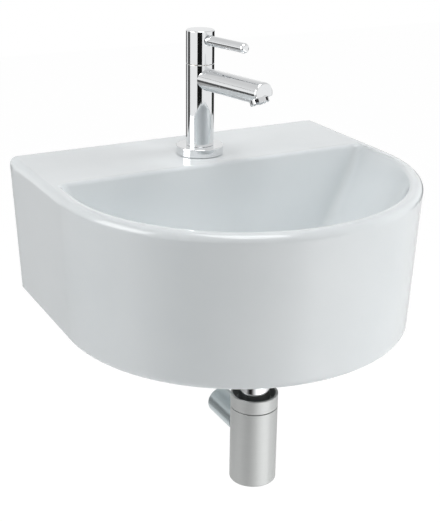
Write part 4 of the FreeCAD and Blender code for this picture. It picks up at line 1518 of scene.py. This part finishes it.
@dataclass(frozen=True)
class Board:
    """A curved upright board that only bright surfaces show, between two directions and two heights.

    Attributes:
        name: the board's name.
        tones: directions, in degrees as in Sector, with their brightness, where 1 is white.
        low: height of its lower edge, in metres.
        high: height of its upper edge.
        away: its distance from the axis that directions are counted from.
    """

    name: str
    tones: tuple[tuple[float, float], ...]
    low: float
    high: float
    away: float = 1.6

    BRIGHTEST = 4.0  # the tone that the ramp's white stands for

    @property
    def sector(self) -> Sector:
        """The directions between which the board stands."""
        return Sector(self.tones[0][0], self.tones[-1][0])

    def stand(self) -> None:
        """Adds the board."""
        work = bmesh.new()
        side = [work.verts.new(Sector.point(self.sector.start, self.away, height))
                for height in (self.low, self.high)]
        bmesh.ops.spin(work, geom=side + [work.edges.new(side)], cent=(0, Sector.CENTRE_Y, 0),
                       axis=(0, 0, 1), angle=2 * self.sector.half, steps=48, use_duplicate=False)
        board = as_object(self.name, work)
        board.data.materials.append(self.paint())
        board.visible_camera = False
        board.visible_diffuse = False
        board.visible_shadow = False

    def paint(self) -> bpy.types.Material:
        """A glow that fades from tone to tone round the board.

        Returns:
            The material.
        """
        made, tree = bare_material(self.name)
        middle = self.sector.middle
        stops = [(0.5 + (direction - middle) / 360.0, (*[tone / self.BRIGHTEST] * 3, 1.0))
                 for direction, tone in self.tones]
        place = tree.read("ShaderNodeTexCoord", "Object")
        centred = tree.read("ShaderNodeMapping", 0, inputs={
            0: place, "Location": (0.0, -Sector.CENTRE_Y, 0.0)})
        faced = tree.read("ShaderNodeMapping", 0, inputs={
            0: centred, "Rotation": (0.0, 0.0, math.radians(90.0 - middle))})
        angle = tree.read("ShaderNodeTexGradient", "Fac", {"gradient_type": "RADIAL"}, {0: faced})
        tone = tree.read("ShaderNodeValToRGB", "Color", {"stops": stops}, {0: angle})
        glow = tree.read("ShaderNodeEmission", 0, inputs={"Strength": tone * self.BRIGHTEST})
        tree.add("ShaderNodeOutputMaterial", inputs={0: glow})
        return made


def bare_material(name: str) -> tuple[bpy.types.Material, ShaderTree]:
    """A material with an empty tree.

    Args:
        name: the material's name.

    Returns:
        The material and its tree.
    """
    made = bpy.data.materials.new(name)
    made.use_nodes = True
    made.node_tree.nodes.clear()
    return made, ShaderTree(made.node_tree)


@dataclass(frozen=True)
class Studio:
    """Camera, pale floor, soft lamps, and the dark and pale boards that bright metal shows.

    Attributes:
        camera_at: in metres.
        azimuth: how far the camera is turned to the right, in degrees.
        elevation: how far it looks down.
        roll: how far it leans.
        floor_glow: the floor's own brightness where it is seen.
        glow_share: how much of what is seen is that glow; the rest is lit, and takes the shadow.
        fill: how strongly the world lights the object, where 1 is white.
        sky_fade: how fast the white that gloss shows falls off with the height it looks at.
        fade_height: the height, as the sine of an elevation, above which it falls no further.
    """

    lens: float = 88.36
    sensor: float = 36.0
    camera_at: Point = (-0.53536, -1.13643, 0.4062)
    azimuth: float = 27.95
    elevation: float = 21.52
    roll: float = 0.70

    floor_level: float = -1.60
    floor_half: float = 9.0
    floor_colour: Colour = (0.86, 0.86, 0.86)
    floor_glow: float = 1.115
    glow_share: float = 0.88

    fill: float = 0.085
    sky_fade: float = 0.45
    fade_height: float = 0.6

    lamps: tuple[Lamp, ...] = (
        Lamp("top_lamp", (-0.1, -0.8, 2.4), (1.3, 2.0), 31.5),
        Lamp("right_lamp", (2.2, -0.9, 1.5), (1.6, 1.6), 38.5, mirrored=False),
        Lamp("left_lamp", (-2.4, 0.1, 0.9), (1.6, 1.6), 32.0),
    )
    panels: tuple[Panel, ...] = (
        Panel("front_right_panel", Sector(10.0, 57.0), 14.8),
        Panel("front_left_panel", Sector(-75.0, -20.0), 2.8),
        Panel("left_panel", Sector(-130.0, -86.0), 4.3),
    )
    SURROUND_TOP = -0.41  # the boards that the column shows stand on the low surround
    boards: tuple[Board, ...] = (
        Board("low_surround", (
            (-168.0, 0.45), (-130.0, 0.4), (-112.0, 0.45), (-88.0, 0.55), (-72.0, 0.15), (-60.0, 0.0),
            (-45.0, 0.05), (-30.0, 0.6), (-15.0, 1.2), (-4.0, 1.55), (6.0, 1.9), (14.0, 2.3),
            (22.0, 2.35), (32.0, 1.95), (44.0, 1.5), (58.0, 1.15), (74.0, 0.9), (125.0, 0.7),
        ), -1.1, SURROUND_TOP),
        Board("column_stripe", ((-50.0, 0.01), (-11.0, 0.01)), SURROUND_TOP, 0.04),
        Board("column_right_edge", ((88.0, 0.02), (152.0, 0.02)), SURROUND_TOP, 0.0),
        Board("column_left_line", ((-146.0, 0.10), (-116.0, 0.10)), SURROUND_TOP, 0.0),
        Board("column_left_edge", ((-208.0, 0.14), (-160.0, 0.14)), SURROUND_TOP, 0.0),
        Board("lever_line", ((-160.0, 0.02), (-95.0, 0.02)), 0.50, 0.53, away=1.3),
    )

    def build(self) -> None:
        """Sets the camera, the world, the floor, the lamps and the boards."""
        self.set_camera()
        self.set_world()
        self.lay_floor()
        for lamp in self.lamps:
            lamp.hang()
        for panel in self.panels:
            panel.lamp().hang()
        for board in self.boards:
            board.stand()
        bpy.context.scene.view_settings.view_transform = "Standard"

    def set_camera(self) -> None:
        """The photograph's viewpoint."""
        camera = bpy.data.cameras.new("camera")
        camera.sensor_width = self.sensor
        camera.sensor_fit = "HORIZONTAL"
        camera.lens = self.lens
        made = bpy.data.objects.new("camera", camera)
        bpy.context.scene.collection.objects.link(made)
        azimuth, elevation, roll = map(math.radians, (self.azimuth, self.elevation, self.roll))
        ahead = Vector((math.sin(azimuth) * math.cos(elevation), math.cos(azimuth) * math.cos(elevation),
                        -math.sin(elevation)))
        level = Vector((math.cos(azimuth), -math.sin(azimuth), 0.0))
        upward = level.cross(ahead)
        right = level * math.cos(roll) + upward * math.sin(roll)
        top = upward * math.cos(roll) - level * math.sin(roll)
        facing = Matrix((right, top, -ahead)).transposed().to_4x4()
        made.matrix_world = Matrix.Translation(self.camera_at) @ facing
        bpy.context.scene.camera = made

    def backdrop_mask(self, tree: ShaderTree) -> Signal:
        """1 for rays from the camera, from gloss or through glass."""
        camera, gloss, glass = (tree.read("ShaderNodeLightPath", f"Is {kind} Ray")
                                for kind in ("Camera", "Glossy", "Transmission"))
        return (camera + gloss + glass).between(0.0, 1.0)

    def set_world(self) -> None:
        """White where it is seen, darker high up in gloss, and faint where it lights the object."""
        world = bpy.data.worlds.new("studio")
        bpy.context.scene.world = world
        world.use_nodes = True
        tree = ShaderTree(world.node_tree)
        toward = tree.read("ShaderNodeTexCoord", "Generated")
        height = tree.read("ShaderNodeSeparateXYZ", "Z", inputs={0: toward}).between(0.0, self.fade_height)
        fade = tree.read("ShaderNodeLightPath", "Is Glossy Ray") * height * self.sky_fade
        level = self.backdrop_mask(tree) * (1.0 - self.fill) + self.fill - fade
        tree.plug(tree.tree.nodes["Background"], {"Color": (1, 1, 1, 1), "Strength": level})

    def lay_floor(self) -> None:
        """A plain pale floor that shows white and still takes the object's shadow."""
        work = bmesh.new()
        bmesh.ops.create_grid(work, x_segments=1, y_segments=1, size=self.floor_half)
        bmesh.ops.translate(work, verts=work.verts, vec=(0, 0, self.floor_level))
        floor = as_object("floor", work)
        made, tree = bare_material("pale_floor")
        lit = tree.read("ShaderNodeBsdfDiffuse", 0, inputs={"Color": (*self.floor_colour, 1)})
        glow = tree.read("ShaderNodeEmission", 0, inputs={"Strength": self.floor_glow})
        seen = self.backdrop_mask(tree) * self.glow_share
        mixed = tree.read("ShaderNodeMixShader", 0, inputs={0: seen, 1: lit, 2: glow})
        tree.add("ShaderNodeOutputMaterial", inputs={0: mixed})
        floor.data.materials.append(made)


def main() -> None:
    """Builds the basin, its tap, trap and hardware, and the studio round them."""
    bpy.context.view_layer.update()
    shop = Workshop()
    Studio().build()
    Basin().build(shop)
    Tap().build(shop)
    Trap().build(shop)
    Hardware().build(shop)


if __name__ == "__main__":
    main()
